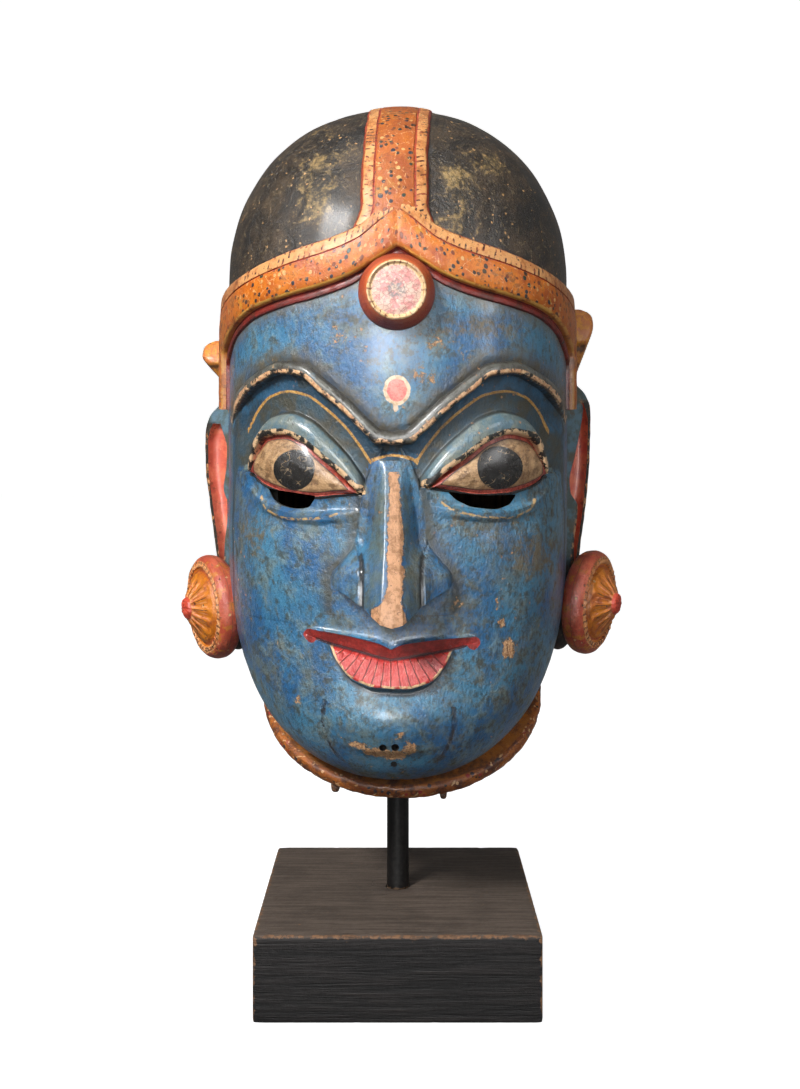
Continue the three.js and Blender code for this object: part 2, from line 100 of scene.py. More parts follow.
def through(values, at):
    """Rows of values[station, column] read at the fractional stations in at."""
    stations = np.arange(len(values), dtype=float)
    slope = hermite_slopes(stations, values)
    i = np.clip(np.floor(at).astype(int), 0, len(values) - 2)
    f = (at - i)[:, None]
    g = f * f * (3.0 - 2.0 * f)
    bend = f * (1.0 - f)
    return mix(values[i], values[i + 1], g) + bend * ((1.0 - f) * slope[i] - f * slope[i + 1])


def rounding(fraction, power):
    """The quarter of a superellipse: (1 - |f|^p)^(1/p)."""
    f = np.clip(np.abs(fraction), 0.0, 1.0)
    return np.power(np.maximum(0.0, 1.0 - np.power(f, power)), 1.0 / power)


def signed_power(x, power):
    return np.sign(x) * np.power(np.abs(x), power)


front_line = curve(
    (CHIN_ROUND_Z, CHIN_FRONT), (200, 94), (250, 94), (300, 98), (340, 101), (DOME_Z, DOME_FRONT)
)


def section(z, inset=0.0):
    """Half width, middle, front reach and back reach of the head's level section at height z."""
    dome = rounding(np.maximum(0.0, z - DOME_Z) / (CROWN_Z - DOME_Z - inset), DOME_POWER)
    jaw = rounding(np.maximum(0.0, JAW_Z - z) / (JAW_Z - CHIN_Z - inset), JAW_POWER)
    chin = rounding(np.maximum(0.0, CHIN_ROUND_Z - z) / (CHIN_ROUND_Z - CHIN_Z - inset), 2.0)
    middle = CROWN_Y * (1.0 - dome) + CHIN_Y * (1.0 - jaw)
    dome_front = (DOME_FRONT + CROWN_Y - inset) * dome - CROWN_Y
    face_front = np.where(
        z < CHIN_ROUND_Z, (CHIN_FRONT + CHIN_Y - inset) * chin - CHIN_Y, front_line(z) - inset
    )
    front = np.where(z > DOME_Z, dome_front, face_front) + middle
    return (HALF_WIDTH - inset) * dome * jaw, middle, front, (BACK_REACH - inset) * dome * jaw


def section_point(z, a, inset=0.0):
    """The section's point at angle a: x = w*sin(a)^(2/n), y = middle -+ reach*cos(a)^(2/n)."""
    width, middle, front, back = section(z, inset)
    power = 2.0 / np.where(np.cos(a) > 0, FRONT_POWER, BACK_POWER)
    along = np.power(np.abs(np.cos(a)), power)
    reach = np.where(np.cos(a) > 0, -front, back)
    x = width * signed_power(np.sin(a), power)
    y = middle + reach * along
    return np.stack(np.broadcast_arrays(x, y, z), -1)


def outward(z, a):
    """Unit normal of the head's plain surface, from its tangents round and up."""
    step = 0.01
    around = section_point(z, a + step) - section_point(z, a - step)
    up = section_point(np.minimum(z + 1.0, CROWN_Z - 1.0), a) - section_point(z - 1.0, a)
    normal = np.cross(around, up)
    return normal / np.maximum(np.linalg.norm(normal, axis=-1, keepdims=True), 1e-9)


def head_point(z, a, rise):
    return section_point(z, a) + outward(z, a) * np.asarray(rise)[..., None]


def angle_of(share):
    """The angle at which a section reaches this share of its half width."""
    share = np.clip(share, -1.0, 1.0)
    return np.sign(share) * np.arcsin(np.power(np.abs(share), FRONT_POWER / 2.0))


def volume_of(points, triangles):
    a, b, c = points[triangles[:, 0]], points[triangles[:, 1]], points[triangles[:, 2]]
    return np.einsum("ij,ij->i", a, np.cross(b, c)).sum() / 6.0


def solid(name, points, triangles, pattern, materials, zones=None):
    """A closed mesh whose faces look outwards. pattern holds one pair of lengths for each corner."""
    if volume_of(points, triangles) < 0:
        triangles = triangles[:, ::-1]
        pattern = pattern[:, ::-1]
    mesh = bpy.data.meshes.new(name)
    mesh.vertices.add(len(points))
    mesh.vertices.foreach_set("co", (points * MM).astype(np.float32).ravel())
    mesh.loops.add(triangles.size)
    mesh.loops.foreach_set("vertex_index", triangles.astype(np.int32).ravel())
    mesh.polygons.add(len(triangles))
    mesh.polygons.foreach_set("loop_start", np.arange(0, triangles.size, 3, dtype=np.int32))
    layer = mesh.uv_layers.new(name="Pattern")
    layer.data.foreach_set("uv", pattern.astype(np.float32).ravel())
    for material in materials:
        mesh.materials.append(material)
    if zones is not None:
        mesh.polygons.foreach_set("material_index", zones.astype(np.int32))
    mesh.update(calc_edges=True)
    made = bpy.data.objects.new(name, mesh)
    bpy.context.scene.collection.objects.link(made)
    return made


def skin(name, rings, materials, along=None, across=None, ends=None, zone_of=None):
    """A closed surface over rings[row, column]. Each ring is traced once round, and a point at each end
    closes it. along and across are lengths at [row, column + 1] that patterns are laid out on."""
    rows, around = rings.shape[:2]
    first, last = ends if ends is not None else (rings[0].mean(0), rings[-1].mean(0))
    points = np.concatenate([rings.reshape(-1, 3), [first, last]])
    along = np.zeros((rows, around + 1)) if along is None else np.broadcast_to(
        along, (rows, around + 1)
    )
    across = np.zeros((rows, around + 1)) if across is None else np.broadcast_to(
        across, (rows, around + 1)
    )
    laid = np.stack([along, across], -1)
    row, col = np.meshgrid(np.arange(rows - 1), np.arange(around), indexing="ij")
    row, col = row.ravel(), col.ravel()
    step = (col + 1) % around
    a, b = row * around + col, row * around + step
    c, d = b + around, a + around
    la, lb = laid[row, col], laid[row, col + 1]
    lc, ld = laid[row + 1, col + 1], laid[row + 1, col]
    ring = np.arange(around)
    following = (ring + 1) % around
    top, bottom = rows * around, rows * around + 1
    base = (rows - 1) * around
    triangles = np.concatenate([
        np.stack([a, b, c], -1), np.stack([a, c, d], -1),
        np.stack([np.full(around, top), following, ring], -1),
        np.stack([np.full(around, bottom), base + ring, base + following], -1),
    ])
    top_mark = (laid[0, :-1] + laid[0, 1:]) / 2
    end_mark = (laid[-1, :-1] + laid[-1, 1:]) / 2
    pattern = np.concatenate([
        np.stack([la, lb, lc], 1), np.stack([la, lc, ld], 1),
        np.stack([top_mark, laid[0, 1:], laid[0, :-1]], 1),
        np.stack([end_mark, laid[-1, :-1], laid[-1, 1:]], 1),
    ])
    zones = None if zone_of is None else zone_of(points[triangles].mean(1), pattern.mean(1))
    return solid(name, points, triangles, pattern, materials, zones)


def turned(outline, sides):
    """Rings of a turned piece about +Z: outline holds (radius, height) rows."""
    angle = np.arange(sides) / sides * 2.0 * np.pi
    radius, height = np.array(outline, float).T
    x = radius[:, None] * np.cos(angle)
    y = radius[:, None] * np.sin(angle)
    return np.stack([x, y, np.broadcast_to(height[:, None], x.shape)], -1)


def fine(outline, steps):
    """An outline's knots joined by a smooth line of so many steps."""
    knots = np.array(outline, float)
    return through(knots, np.linspace(0, len(knots) - 1, steps))


def tilted(points):
    """From the collar's own plane to its place: turned about x, then moved."""
    c, s = math.cos(COLLAR_TILT), math.sin(COLLAR_TILT)
    x, y, z = points[..., 0], points[..., 1], points[..., 2]
    return np.stack([x, y * c - z * s, y * s + z * c], -1) + COLLAR_CENTRE


def ripple(a, b, seed=0):
    """A slow, uneven wave between -1 and 1, the mean of three sines that don't repeat together."""
    return (
        np.sin(a * 1.00 + b * 0.31 + seed * 1.7)
        + np.sin(a * 2.17 - b * 1.13 + seed * 2.9)
        + np.sin(a * 0.43 + b * 2.71 + seed * 4.1)
    ) / 3.0


def block(name, corners, material):
    """A hexahedron from eight corners, the lower four then the upper four, both the same way."""
    order = [(0, 2, 1), (0, 3, 2), (4, 5, 6), (4, 6, 7)]
    for i in range(4):
        j = (i + 1) % 4
        order += [(i, j, 4 + j), (i, 4 + j, 4 + i)]
    triangles = np.array(order)
    return solid(name, np.array(corners, float), triangles, np.zeros((12, 3, 2)), [material])


def box_corners(low, high):
    (x0, y0, z0), (x1, y1, z1) = low, high
    level = [(x0, y0), (x1, y0), (x1, y1), (x0, y1)]
    return np.array([(x, y, z) for z in (z0, z1) for x, y in level], float)


def combine(base, other, operation):
    """Joins other to base, or cuts it away, and removes other."""
    change = base.modifiers.new("carve", "BOOLEAN")
    change.operation = operation
    change.object = other
    change.solver = "MANIFOLD"
    change.material_mode = "TRANSFER"
    graph = bpy.context.evaluated_depsgraph_get()
    made = bpy.data.meshes.new_from_object(
        base.evaluated_get(graph), preserve_all_data_layers=True, depsgraph=graph
    )
    base.modifiers.clear()
    base.data = made
    bpy.data.objects.remove(other)


# ---- Carved and painted lines of the face: height over the distance from its middle ----
brow_line = curve(
    (0, 304.5), (6, 305.5), (13.5, 311.8), (22.5, 320.3), (36, 331.3), (47, 339), (59, 340.4),
    (74, 335),
    (83.5, 328), (90.5, 317.5),
)
gold_line = curve(
    (11.4, 288.4), (17.5, 297.5), (25.5, 307), (36, 316), (47.2, 323), (58, 325), (68.5, 322.6),
    (77, 315),
    (82.5, 304.8),
)
lid_line = curve(
    (12, 277), (16.3, 283), (24, 293), (33.5, 302), (44, 310.2), (55.5, 313.8), (66.5, 311.5),
    (74, 303.5),
    (77.5, 294), (80, 284),
)
eye_top = curve(
    (18, 275.3), (25.4, 282.5), (36.5, 291), (48.2, 299.8), (58.8, 303.3), (68, 301.8), (74, 295),
    (77, 283.5),
)
eye_foot = curve(
    (18, 275.2), (28.5, 274), (42.5, 272.3), (55.6, 273.2), (66.5, 275.8), (74, 279.5), (77, 283)
)
lash_line = curve((21.5, 270), (28, 265), (40, 261.8), (55, 260.6), (66.5, 264.2), (72.5, 271.5))
lip_top = curve((0, 195.5), (5, 198), (14, 200), (25, 201.7), (36, 202.7), (45, 202.9))
lip_line = curve((0, 190.5), (8, 192), (17, 194), (31, 196.8), (41, 199.5), (45, 200.5))
lip_foot = curve(
    (0, 176.7), (8.5, 177), (14, 178.5), (20.5, 181.5), (25.5, 187.5), (29, 193), (31, 196.8),
    (45, 200.4),
)
band_top = curve(
    (0, 424), (10, 416), (19, 408), (33, 402), (54, 396), (74, 389), (90, 381.5), (95, 378)
)
band_foot = curve(
    (0, 397), (13, 388.6), (24, 382), (40, 376.5), (57, 372.5), (73, 367.7), (84, 360.5), (90, 352),
    (95, 343),
)


def face_distance(x):
    """Distance from the face's middle, a little stretched on one side and shrunk on the other."""
    off = x - FACE_X
    return np.abs(off) * np.where(off < 0, LEFT_STRETCH, RIGHT_STRETCH)


def eye_shift(x, t):
    """The eyes aren't quite level: the inner corners stand apart by about four millimetres."""
    return np.sign(x - FACE_X) * 2.2 * (1.0 - t / 60.0) * smooth(t, 5, 16)


def lip_tilt(x):
    return -0.045 * (x - MOUTH_X)


def stations(x_eye, x_mouth):
    """Heights and relief from the forehead down to the chin, for columns at these distances.
    Each entry is (height, relief, rows down to the next entry)."""
    t = face_distance(x_eye)
    m = np.abs(x_mouth - MOUTH_X)
    shift = eye_shift(x_eye, t)
    brow = smooth(t, 91, 84)
    socket = smooth(t, 89, 79)
    eye = smooth(t, 15.5, 19.5) * smooth(t, 80, 76.5)
    roll = smooth(t, 11, 18) * smooth(t, 83, 77)
    b = brow_line(t)
    k = np.minimum(slope_of(brow_line, t), 1.5)
    f = eye_foot(t) + shift
    e = np.maximum(eye_top(t) + shift, f + 0.05)
    lid = np.maximum(lid_line(t) + shift, e + 3.0)
    lid = np.minimum(lid, b - 6.9 * k - 2.2)
    lips = smooth(m, 44, 34)
    lower = smooth(m, 32, 25)
    cheek = smooth(t, 12, 50) * smooth(t, 92, 66)
    pouch = smooth(t, 19, 34) * smooth(t, 77, 62)
    tilt = lip_tilt(x_mouth)
    lt, ll = lip_top(m) + tilt, lip_line(m) + tilt
    lf = np.minimum(lip_foot(m) + tilt, ll - 0.3)
    deep = -4.4 * socket
    chin = smooth(np.abs(x_mouth + 4.5), 40, 6)
    slit = -1.4 * eye
    rows = [
        (mix(FOREHEAD_Z, b, 0.33), 0 * t, 7),
        (mix(FOREHEAD_Z, b, 0.66), 0 * t, 7),
        (b + 4.0, 0 * t, 3),
        (b + 1.2, -0.5 * brow, 2),
        (b + 0.3, -0.8 * brow, 3),
        (b - 0.6 * k, 0.9 * brow, 2),
        (b - 2.2 * k, 2.3 * brow, 3),
        (b - 4.6 * k, 2.5 * brow, 3),
        (b - 6.0 * k, 1.9 * brow, 2),
        (b - 6.5 * k, mix(0.0, 0.7, socket), 2),
        (b - 6.9 * k, -2.6 * socket, 3),
        (mix(b - 6.9 * k, lid + 1.4, 0.28), deep * 0.9, 8),
        (mix(b - 6.9 * k, lid + 1.4, 0.72), deep, 6),
        (lid + 1.4, deep * 0.95, 3),
        (lid + 0.4, mix(deep, -2.6, roll), 2),
        (mix(lid, e, 0.12), mix(deep, -0.6, roll), 3),
        (mix(lid, e, 0.42), mix(deep, 1.3, roll), 4),
        (mix(lid, e, 0.78), mix(deep, 1.5, roll), 2),
        (e + 0.7, mix(deep * 0.6, 0.9, roll), 2),
        (e + 0.1, mix(deep * 0.6, -0.4, eye), 2),
        (e - 0.6 * eye, mix(deep * 0.6, -2.6, eye), 3),
        (mix(e, f, 0.2), mix(deep * 0.5, -0.6, eye), 6),
        (mix(e, f, 0.5), mix(deep * 0.5, 1.0, eye), 6),
        (mix(e, f, 0.8), mix(deep * 0.5, 0.3, eye), 3),
        (f + 0.6 * eye, mix(deep * 0.5, -1.5, eye), 2),
        (f - 0.1, mix(deep * 0.5, -0.6, eye), 2),
        (f - 1.3, slit, 3),
        (f - 7.0, slit * 0.8, 3),
        (f - 9.2, 1.5 * pouch, 3),
        (f - 12.2, 1.3 * pouch, 2),
        (f - 14.2, -0.1 * pouch, 4),
        (f - 18.0, 0.3 * cheek, 4),
        (246.0 + 0 * t, 1.3 * cheek, 7),
        (232.0 + 0 * t, 1.3 * cheek, 7),
        (217.0 + 0 * t, 0.7 * cheek, 5),
        (208.0 + 0 * t, 0.2 * cheek, 3),
        (lt + 1.8, 0.4 * lips, 2),
        (lt + 0.4, 1.6 * lips, 2),
        (lt - 0.4, 1.1 * lips, 3),
        (mix(lt, ll, 0.75), -0.7 * lips, 2),
        (ll, -1.4 * lips, 2),
        (ll - 0.9 * lower - 0.1, 1.6 * lower - 0.4 * lips * (1 - lower), 3),
        (mix(ll, lf, 0.3), 3.2 * lower, 4),
        (mix(ll, lf, 0.75), 4.6 * lower, 3),
        (lf + 0.9 * lower, 4.9 * lower, 2),
        (lf - 0.2, 4.3 * lower, 2),
        (lf - 1.6 * lower - 0.4, 2.9 * lower, 2),
        (lf - 2.4 * lower - 0.6, -0.7 * lower, 3),
        (171.0 - 0 * t, -0.2 * chin, 4),
        (163.0 + 0 * t, 1.4 * chin, 5),
        (154.0 + 0 * t, 2.3 * chin, 5),
        (146.0 + 0 * t, 2.2 * chin, 4),
    ]
    heights = np.stack([row[0] for row in rows])
    relief = np.stack([row[1] for row in rows])
    return heights, relief, [row[2] for row in rows]


def hair_rise(points):
    """Hair swells the sides of the head behind the ears."""
    back = smooth(points[..., 1], HAIR_Y - 2, HAIR_Y + 1)
    low = smooth(points[..., 2], HAIR_LOW - 2, HAIR_LOW + 1)
    return HAIR_RISE * back * low * smooth(points[..., 2], HAIR_HIGH, 300)


def make_head(face, dome):
    """The head's outer surface. Its columns stand at fixed shares of the width and its rows follow the
    carved lines, with station relief added along the normal."""
    shares = np.concatenate([np.linspace(0, 0.90, 68), [0.92, 0.94, 0.958, 0.973, 0.985]])
    turns = np.concatenate([
        angle_of(shares), np.linspace(angle_of(0.985), 1.5708, 7)[1:],
        [1.63, 1.69, 1.75, 1.84, 1.95, 2.1, 2.25, 2.4, 2.6, 2.85],
    ])
    angles = np.concatenate([-turns[:0:-1], turns, [np.pi]])
    x_eye = section_point(np.full(angles.shape, 300.0), angles)[:, 0]
    x_mouth = section_point(np.full(angles.shape, 192.0), angles)[:, 0]
    behind = np.cos(angles) < 0.0
    x_eye = np.where(behind, 200.0, x_eye)
    x_mouth = np.where(behind, 200.0, x_mouth)
    heights, relief, counts = stations(x_eye, x_mouth)
    dome_heights = np.array([483.4, 482.5, 481, 478.7, 475.4, 471.2, 466, 460.3, 453.6, 446, 438.4, 429.8, 421, 412.4, 403.8, 396, FOREHEAD_Z])
    chin_heights = np.array([141, 136.5, 132.5, 129.5, 127, 125.3, 124.4])
    ones = np.ones(angles.shape)
    z = np.concatenate([dome_heights[:, None] * ones, heights, chin_heights[:, None] * ones])
    rise = np.concatenate(
        [0 * dome_heights[:, None] * ones, relief, 0 * chin_heights[:, None] * ones]
    )
    counts = [2] * len(dome_heights) + counts + [2] * (len(chin_heights) - 1)
    at = np.concatenate([i + np.arange(n) / n for i, n in enumerate(counts)] + [[len(z) - 1.0]])
    z = through(z, at)
    z = np.minimum.accumulate(z - np.arange(len(z))[:, None] * 1e-4, axis=0)
    rise = through(rise, at)
    grid_angles = np.broadcast_to(angles, z.shape)
    plain = section_point(z, grid_angles)
    normal = outward(z, grid_angles)
    tool = 0.28 * ripple(grid_angles * 19.0, z * 0.085, 2) * smooth(z, FOREHEAD_Z, 405)
    cheeks = 0.22 * ripple(grid_angles * 11.0, z * 0.045, 5)
    ahead = smooth(plain[..., 1], -50, -75)
    chin = 3.0 * ahead * np.exp(-(((plain[..., 0] + 5) / 24) ** 2) - ((z - 161) / 12) ** 2)
    rings = plain + normal * (rise + tool + cheeks + chin + hair_rise(plain))[..., None]
    along = np.concatenate([plain[..., 0], plain[:, :1, 0]], 1)
    across = np.concatenate([z, z[:, :1]], 1)

    def zone_of(middle, laid):
        out = np.abs(laid[:, 0])
        above = laid[:, 1] > (band_top(out) + band_foot(out)) / 2
        back = (middle[:, 1] > HAIR_Y - 1.0) & (laid[:, 1] > HAIR_LOW - 2)
        return (above | back).astype(int)

    ends = (np.array([0.0, CROWN_Y, CROWN_Z]), np.array([0.0, CHIN_Y, CHIN_Z]))
    return skin("carved_mask", rings, [face, dome], along, across, ends, zone_of)


# ---- Nose ----
nose_rise = curve(
    (205, 31), (213, 30.5), (226, 27), (244, 19.5), (262, 12.5), (280, 5.6), (289, 1.6),
    (296.5, -5.5)
)
nose_foot = curve(
    (205, 30), (229, 32), (233, 31.5), (240, 26), (248, 20), (262, 18), (280, 13.5), (290, 9.5),
    (296, 5)
)
nose_ridge = curve((205, 7.0), (226, 5.8), (250, 4.4), (296, 3.4))
wing_rise = curve((205, 9), (236, 8.5), (246, 3.0), (252, 0.4), (262, 0.2))
wing_arc = curve((214, 14.6), (222, 14.7), (231, 14.6), (239, 14.8), (246.3, 16.8), (250.5, 20.5))
NOSE_OUT = curve((0, 0), (1, 1), (2, 1.35), (3, 1.62), (4, 1.9), (5, 2))
NOSE_RISE = curve((0, 1), (0.8, 0.985), (1, 0.94), (2, 0.5), (3, 0.1), (4, 0.02), (5, -0.35))
NOSE_WING = curve((0, 0), (1.4, 0), (2, 0.4), (3, 1), (4, 0.75), (5, 0))


def make_nose(face):
    """Level sections from the brow to the tip, a flat ridge falling to two wings, closed behind."""
    levels = np.linspace(296.5, 205, 78)[:, None]
    k = np.concatenate([np.linspace(5, 1.2, 27), np.linspace(1.1, 0, 8)])
    k = np.concatenate([k, k[-2::-1]])[None, :]
    side = np.concatenate([-np.ones(35), np.ones(34)])[None, :]
    out = NOSE_OUT(k)
    x = np.where(
        out < 1, nose_ridge(levels) * out, mix(nose_ridge(levels), nose_foot(levels), out - 1)
    )
    height = nose_rise(levels) * NOSE_RISE(k) + wing_rise(levels) * NOSE_WING(k)
    groove = np.exp(-(((x - wing_arc(levels)) / 0.85) ** 2)) * smooth(levels, 215, 221) * smooth(
        levels, 252, 247
    )
    lobe = smooth(x, wing_arc(levels) + 0.4, wing_arc(levels) + 2.0) * smooth(levels, 251, 244)
    height = height - 1.3 * groove + 0.7 * lobe * (k < 4.2)
    y = -(front_line(levels) - x * x / 260.0 + height)
    place_x = FACE_X - 0.4 + side * x
    rings = np.stack(np.broadcast_arrays(place_x, y, levels), -1)
    back = np.stack(
        [np.full(len(levels), FACE_X), np.full(len(levels), -70.0), levels[:, 0]], -1
    )[:, None]
    rings = np.concatenate([rings, back], 1)
    along = np.concatenate([rings[..., 0], rings[:, :1, 0]], 1)
    ends = (np.array([FACE_X, -86.0, 296.5]), np.array([FACE_X, -86.0, 205.0]))
    nose = skin("nose", rings, [face], along, levels, ends)
    for sign in (-1.0, 1.0):
        tip = np.array([FACE_X + sign * 4, -127.0, 210.5])
        wing = np.array([FACE_X + sign * 31, -96.0, 229.0])
        root = np.array([FACE_X, -94.0, 222.0])
        up = np.cross(wing - tip, root - tip) * sign
        up /= np.linalg.norm(up)
        run = (wing - tip) / np.linalg.norm(wing - tip)
        over = np.cross(up, run)
        half, deep = 60.0, 120.0
        corners = [root + run * a + over * b + up * c for c in (-deep, 0.0) for a, b in
                   ((-half, -half), (half, -half), (half, half), (-half, half))]
        combine(nose, block("undercut", corners, face), "DIFFERENCE")
    return nose


# ---- Bands laid over the head ----
DIADEM_RISE, DIADEM_SINK, TURN_SHARE, TAIL = 5.0, 6.0, 0.97, 0.4
TAIL_Z, TAIL_SPREAD = 318.0, 0.13
# Across the hair band: (share across, share of the rise).
DIADEM_SECTION = [
    (0.0, -1.0), (0.0, 0.1), (0.015, 0.5), (0.05, 0.78), (0.12, 0.9), (0.30, 0.98), (0.315, 0.88),
    (0.33, 0.88),
    (0.345, 1.0), (0.45, 1.08), (0.6, 1.1), (0.8, 1.04), (0.92, 0.94), (0.975, 0.8), (1.0, 0.6),
    (1.0, 0.25),
    (1.03, 0.12), (1.07, 0.3), (1.13, 0.36), (1.18, 0.28), (1.2, 0.05), (1.2, -1.0),
]


def make_diadem(material):
    """The hair band: its section carried round the forehead, then down in front of each ear."""
    steps = 230
    across, lift = np.array(DIADEM_SECTION).T
    most = 1.0 + TAIL
    along = np.linspace(-most, most, steps)
    share = np.minimum(1.0, np.abs(along)) * TURN_SHARE
    tail = np.maximum(0.0, np.abs(along) - 1.0) / TAIL
    side = np.sign(along)
    a = angle_of(share) * side
    x = share * HALF_WIDTH
    spread = TAIL_SPREAD * side * np.sqrt(tail)
    top = mix(band_top(x), TAIL_Z, tail)
    foot = mix(band_foot(x), TAIL_Z - 1.0, np.power(tail, 0.7))
    z = mix(top[:, None], foot[:, None], across)
    turn = mix((a + spread)[:, None], (a + spread * 0.15)[:, None], across)
    chips = 0.35 * ripple(along[:, None] * 90.0, across * 5.0, 3)
    rise = np.where(lift < 0, lift * DIADEM_SINK, lift * DIADEM_RISE + chips * (lift > 0.3) * 0.5)
    peak = 0.5 * np.exp(-((along[:, None] / 0.012) ** 2)) * (across < 1.0) * (lift > 0)
    points = head_point(z, turn, np.broadcast_to(rise, z.shape) - peak)
    walked = np.cumsum(np.r_[0, np.linalg.norm(np.diff(points[:, 9], axis=0), axis=1)])
    walked = walked - walked[steps // 2]
    laid = np.concatenate([across, across[:1]])[None, :]
    return skin("hair_band", points, [material], walked[:, None], laid)


STRAP_HALF, STRAP_RISE, STRAP_SINK = 17.0, 4.6, 7.0
STRAP_SECTION = [
    (-1.0, -1.0), (-1.0, 0.1), (-0.99, 0.4), (-0.95, 0.72), (-0.88, 0.85), (-0.7, 0.93),
    (-0.62, 0.95), (-0.6, 0.86),
    (-0.57, 0.86), (-0.55, 0.98), (-0.25, 1.03), (0.0, 1.05), (0.25, 1.03), (0.55, 0.98),
    (0.57, 0.86), (0.6, 0.86),
    (0.62, 0.95), (0.7, 0.93), (0.88, 0.85), (0.95, 0.72), (0.99, 0.4), (1.0, 0.1), (1.0, -1.0),
]


def make_strap(material):
    """The strap over the middle of the dome, from the hair band to the back of the head."""
    steps = 140
    across, lift = np.array(STRAP_SECTION).T
    turn = np.linspace(-1.46, 1.5, steps)
    reach = np.where(turn < 0, DOME_FRONT + CROWN_Y, BACK_REACH - CROWN_Y)
    height = CROWN_Z - DOME_Z
    power = 2.0 / DOME_POWER
    out = signed_power(np.sin(turn), power) * reach
    base_y, base_z = CROWN_Y + out, DOME_Z + np.power(np.cos(turn), power) * height
    normal = np.stack([np.sin(turn) / reach, np.cos(turn) / height], -1)
    normal /= np.linalg.norm(normal, axis=-1, keepdims=True)
    half = STRAP_HALF + 0.5 * ripple(turn * 16.0, 0.0, 4) + 4.5 * smooth(turn, -1.24, -1.42)
    crown = mix(1.0, 0.45, smooth(np.abs(turn), 0.95, 0.35)) * mix(
        1.0, 0.6, smooth(turn, -1.36, -1.44)
    )
    x = across * half[:, None]
    chips = 0.16 * ripple(turn[:, None] * 60.0, across * 4.0, 6) * (lift > 0.3)
    rise = np.where(lift < 0, lift * STRAP_SINK, lift * STRAP_RISE * crown[:, None]) - x * x / (
        2 * HALF_WIDTH
    ) + chips
    lean = mix(2.0, -1.5, smooth(turn, 0.0, -1.2))[:, None]
    points = np.stack([
        x + lean, base_y[:, None] + normal[:, :1] * rise, base_z[:, None] + normal[:, 1:] * rise,
    ], -1)
    walked = np.cumsum(np.r_[0, np.linalg.norm(np.diff(points[:, 11], axis=0), axis=1)])
    laid = np.concatenate([across, across[:1]])[None, :]
    return skin("crown_strap", points, [material], walked[:, None], laid)


# ---- Turned ornaments ----
def turned_piece(name, outline, sides, material, place, relief=None):
    """A turned piece whose patterns are laid out on (turns round, distance from the axis)."""
    rings = turned(outline, sides)
    if relief is not None:
        angle = np.arange(sides) / sides * 2.0 * np.pi
        rings[..., 2] += relief(outline[:, :1], angle[None, :], outline[:, 1:2])
    turns = np.linspace(0, 1, sides + 1)[None, :]
    radius = outline[:, :1] + np.where(
        np.arange(len(outline)) < outline[:, 0].argmax(), 100.0, 0.0
    )[:, None]
    rings = rings[1:-1]
    ends = (np.array([0.0, 0.0, outline[0, 1]]), np.array([0.0, 0.0, outline[-1, 1]]))
    return skin(
        name, place(rings), [material], turns, radius[1:-1], tuple(place(np.array(e)) for e in ends)
    )


def make_medallion(material):
    """A round boss on the forehead: a cone cut off by a flat, notched face."""
    outline = fine([
        (0, -4), (10, -4), (19, -4), (19.2, 8), (19, 13.5), (18.3, 15.6), (16.6, 19.2),
        (15.2, 22.4), (14.5, 23.8),
        (13.8, 24.1), (13.2, 23.4), (12.4, 22.9), (9, 23.5), (4, 23.7), (0, 23.6),
    ], 46)

    def relief(radius, angle, height):
        rim = smooth(radius, 12.8, 13.4) * smooth(radius, 15.0, 14.3) * (height > 20)
        return 0.22 * rim * ripple(angle * 21.0, radius, 2) + 0.18 * ripple(
            angle * 7, radius * 1.1, 1
        ) * (height > 20)

    def place(points):
        x, y, z = points[..., 0], points[..., 1], points[..., 2]
        return np.stack([x - 0.5, -(z + 84.5) - 4.0, y + 374.0], -1)

    return turned_piece("forehead_medallion", outline, 104, material, place, relief)


DISC_X, DISC_Y, DISC_Z, DISC_TURN = 107.0, -7.0, 207.0, 0.5
PETALS = 14


def make_disc(side, material):
    """An ear disc: a rounded rim, a notched ring, a plain groove and a cone of petals with a knob."""
    outline = fine([
        (0, -11), (14, -11), (22, -9), (27, -6.5), (28.8, -3), (29.1, 0), (28.2, 3), (26.6, 4.9),
        (25.2, 5.7),
        (24.6, 5.4), (24.2, 6.1), (22.6, 6.0), (22.1, 4.9), (20.8, 4.6), (19.6, 5.4), (19.0, 6.6),
        (17.6, 7.6),
        (13, 10.4), (9, 13.0), (6.6, 14.3), (6.0, 14.9), (5.4, 16.0), (3.4, 16.9), (0, 17.2),
    ], 74)

    def relief(radius, angle, height):
        petal = smooth(radius, 5.8, 8.0) * smooth(radius, 19.0, 17.0) * (height > 5)
        notch = smooth(radius, 22.2, 22.8) * smooth(radius, 24.6, 24.0) * (height > 5)
        worn = 0.3 * ripple(angle * 6, radius * 0.7, side + 3)
        return 0.45 * petal * np.cos(angle * PETALS) + 0.35 * notch * np.sign(
            np.sin(angle * 38)
        ) + worn * (height > -4)

    turn = -DISC_TURN

    def place(points):
        x, y, z = points[..., 0], points[..., 1], points[..., 2]
        out_x = z * math.cos(turn) + x * -math.sin(turn)
        out_y = z * math.sin(turn) + x * math.cos(turn)
        lean = 0.06 * y
        shift = 0.0 if side < 0 else 0.6
        return np.stack(
            [side * (out_x + lean + DISC_X) + 2.0, out_y + DISC_Y, y + DISC_Z + side + shift], -1
        )

    return turned_piece("ear_disc", outline, 152, material, place, relief)


# ---- Ears and tabs ----
EAR_X, EAR_Y, EAR_FLARE, EAR_TOP, EAR_LOW = 91.0, -1.0, 0.62, 318.0, 224.0
EAR_DEPTH, EAR_LIFT = 12.0, 12.0


def to_ear(side, points):
    """From the ear's own plane, x outwards and y backwards, to its place beside the head."""
    c, s = math.cos(EAR_FLARE), math.sin(EAR_FLARE)
    x, y, z = points[..., 0], points[..., 1], points[..., 2]
    return np.stack([side * (x * c - y * s + EAR_X), x * s + y * c + EAR_Y, z], -1)


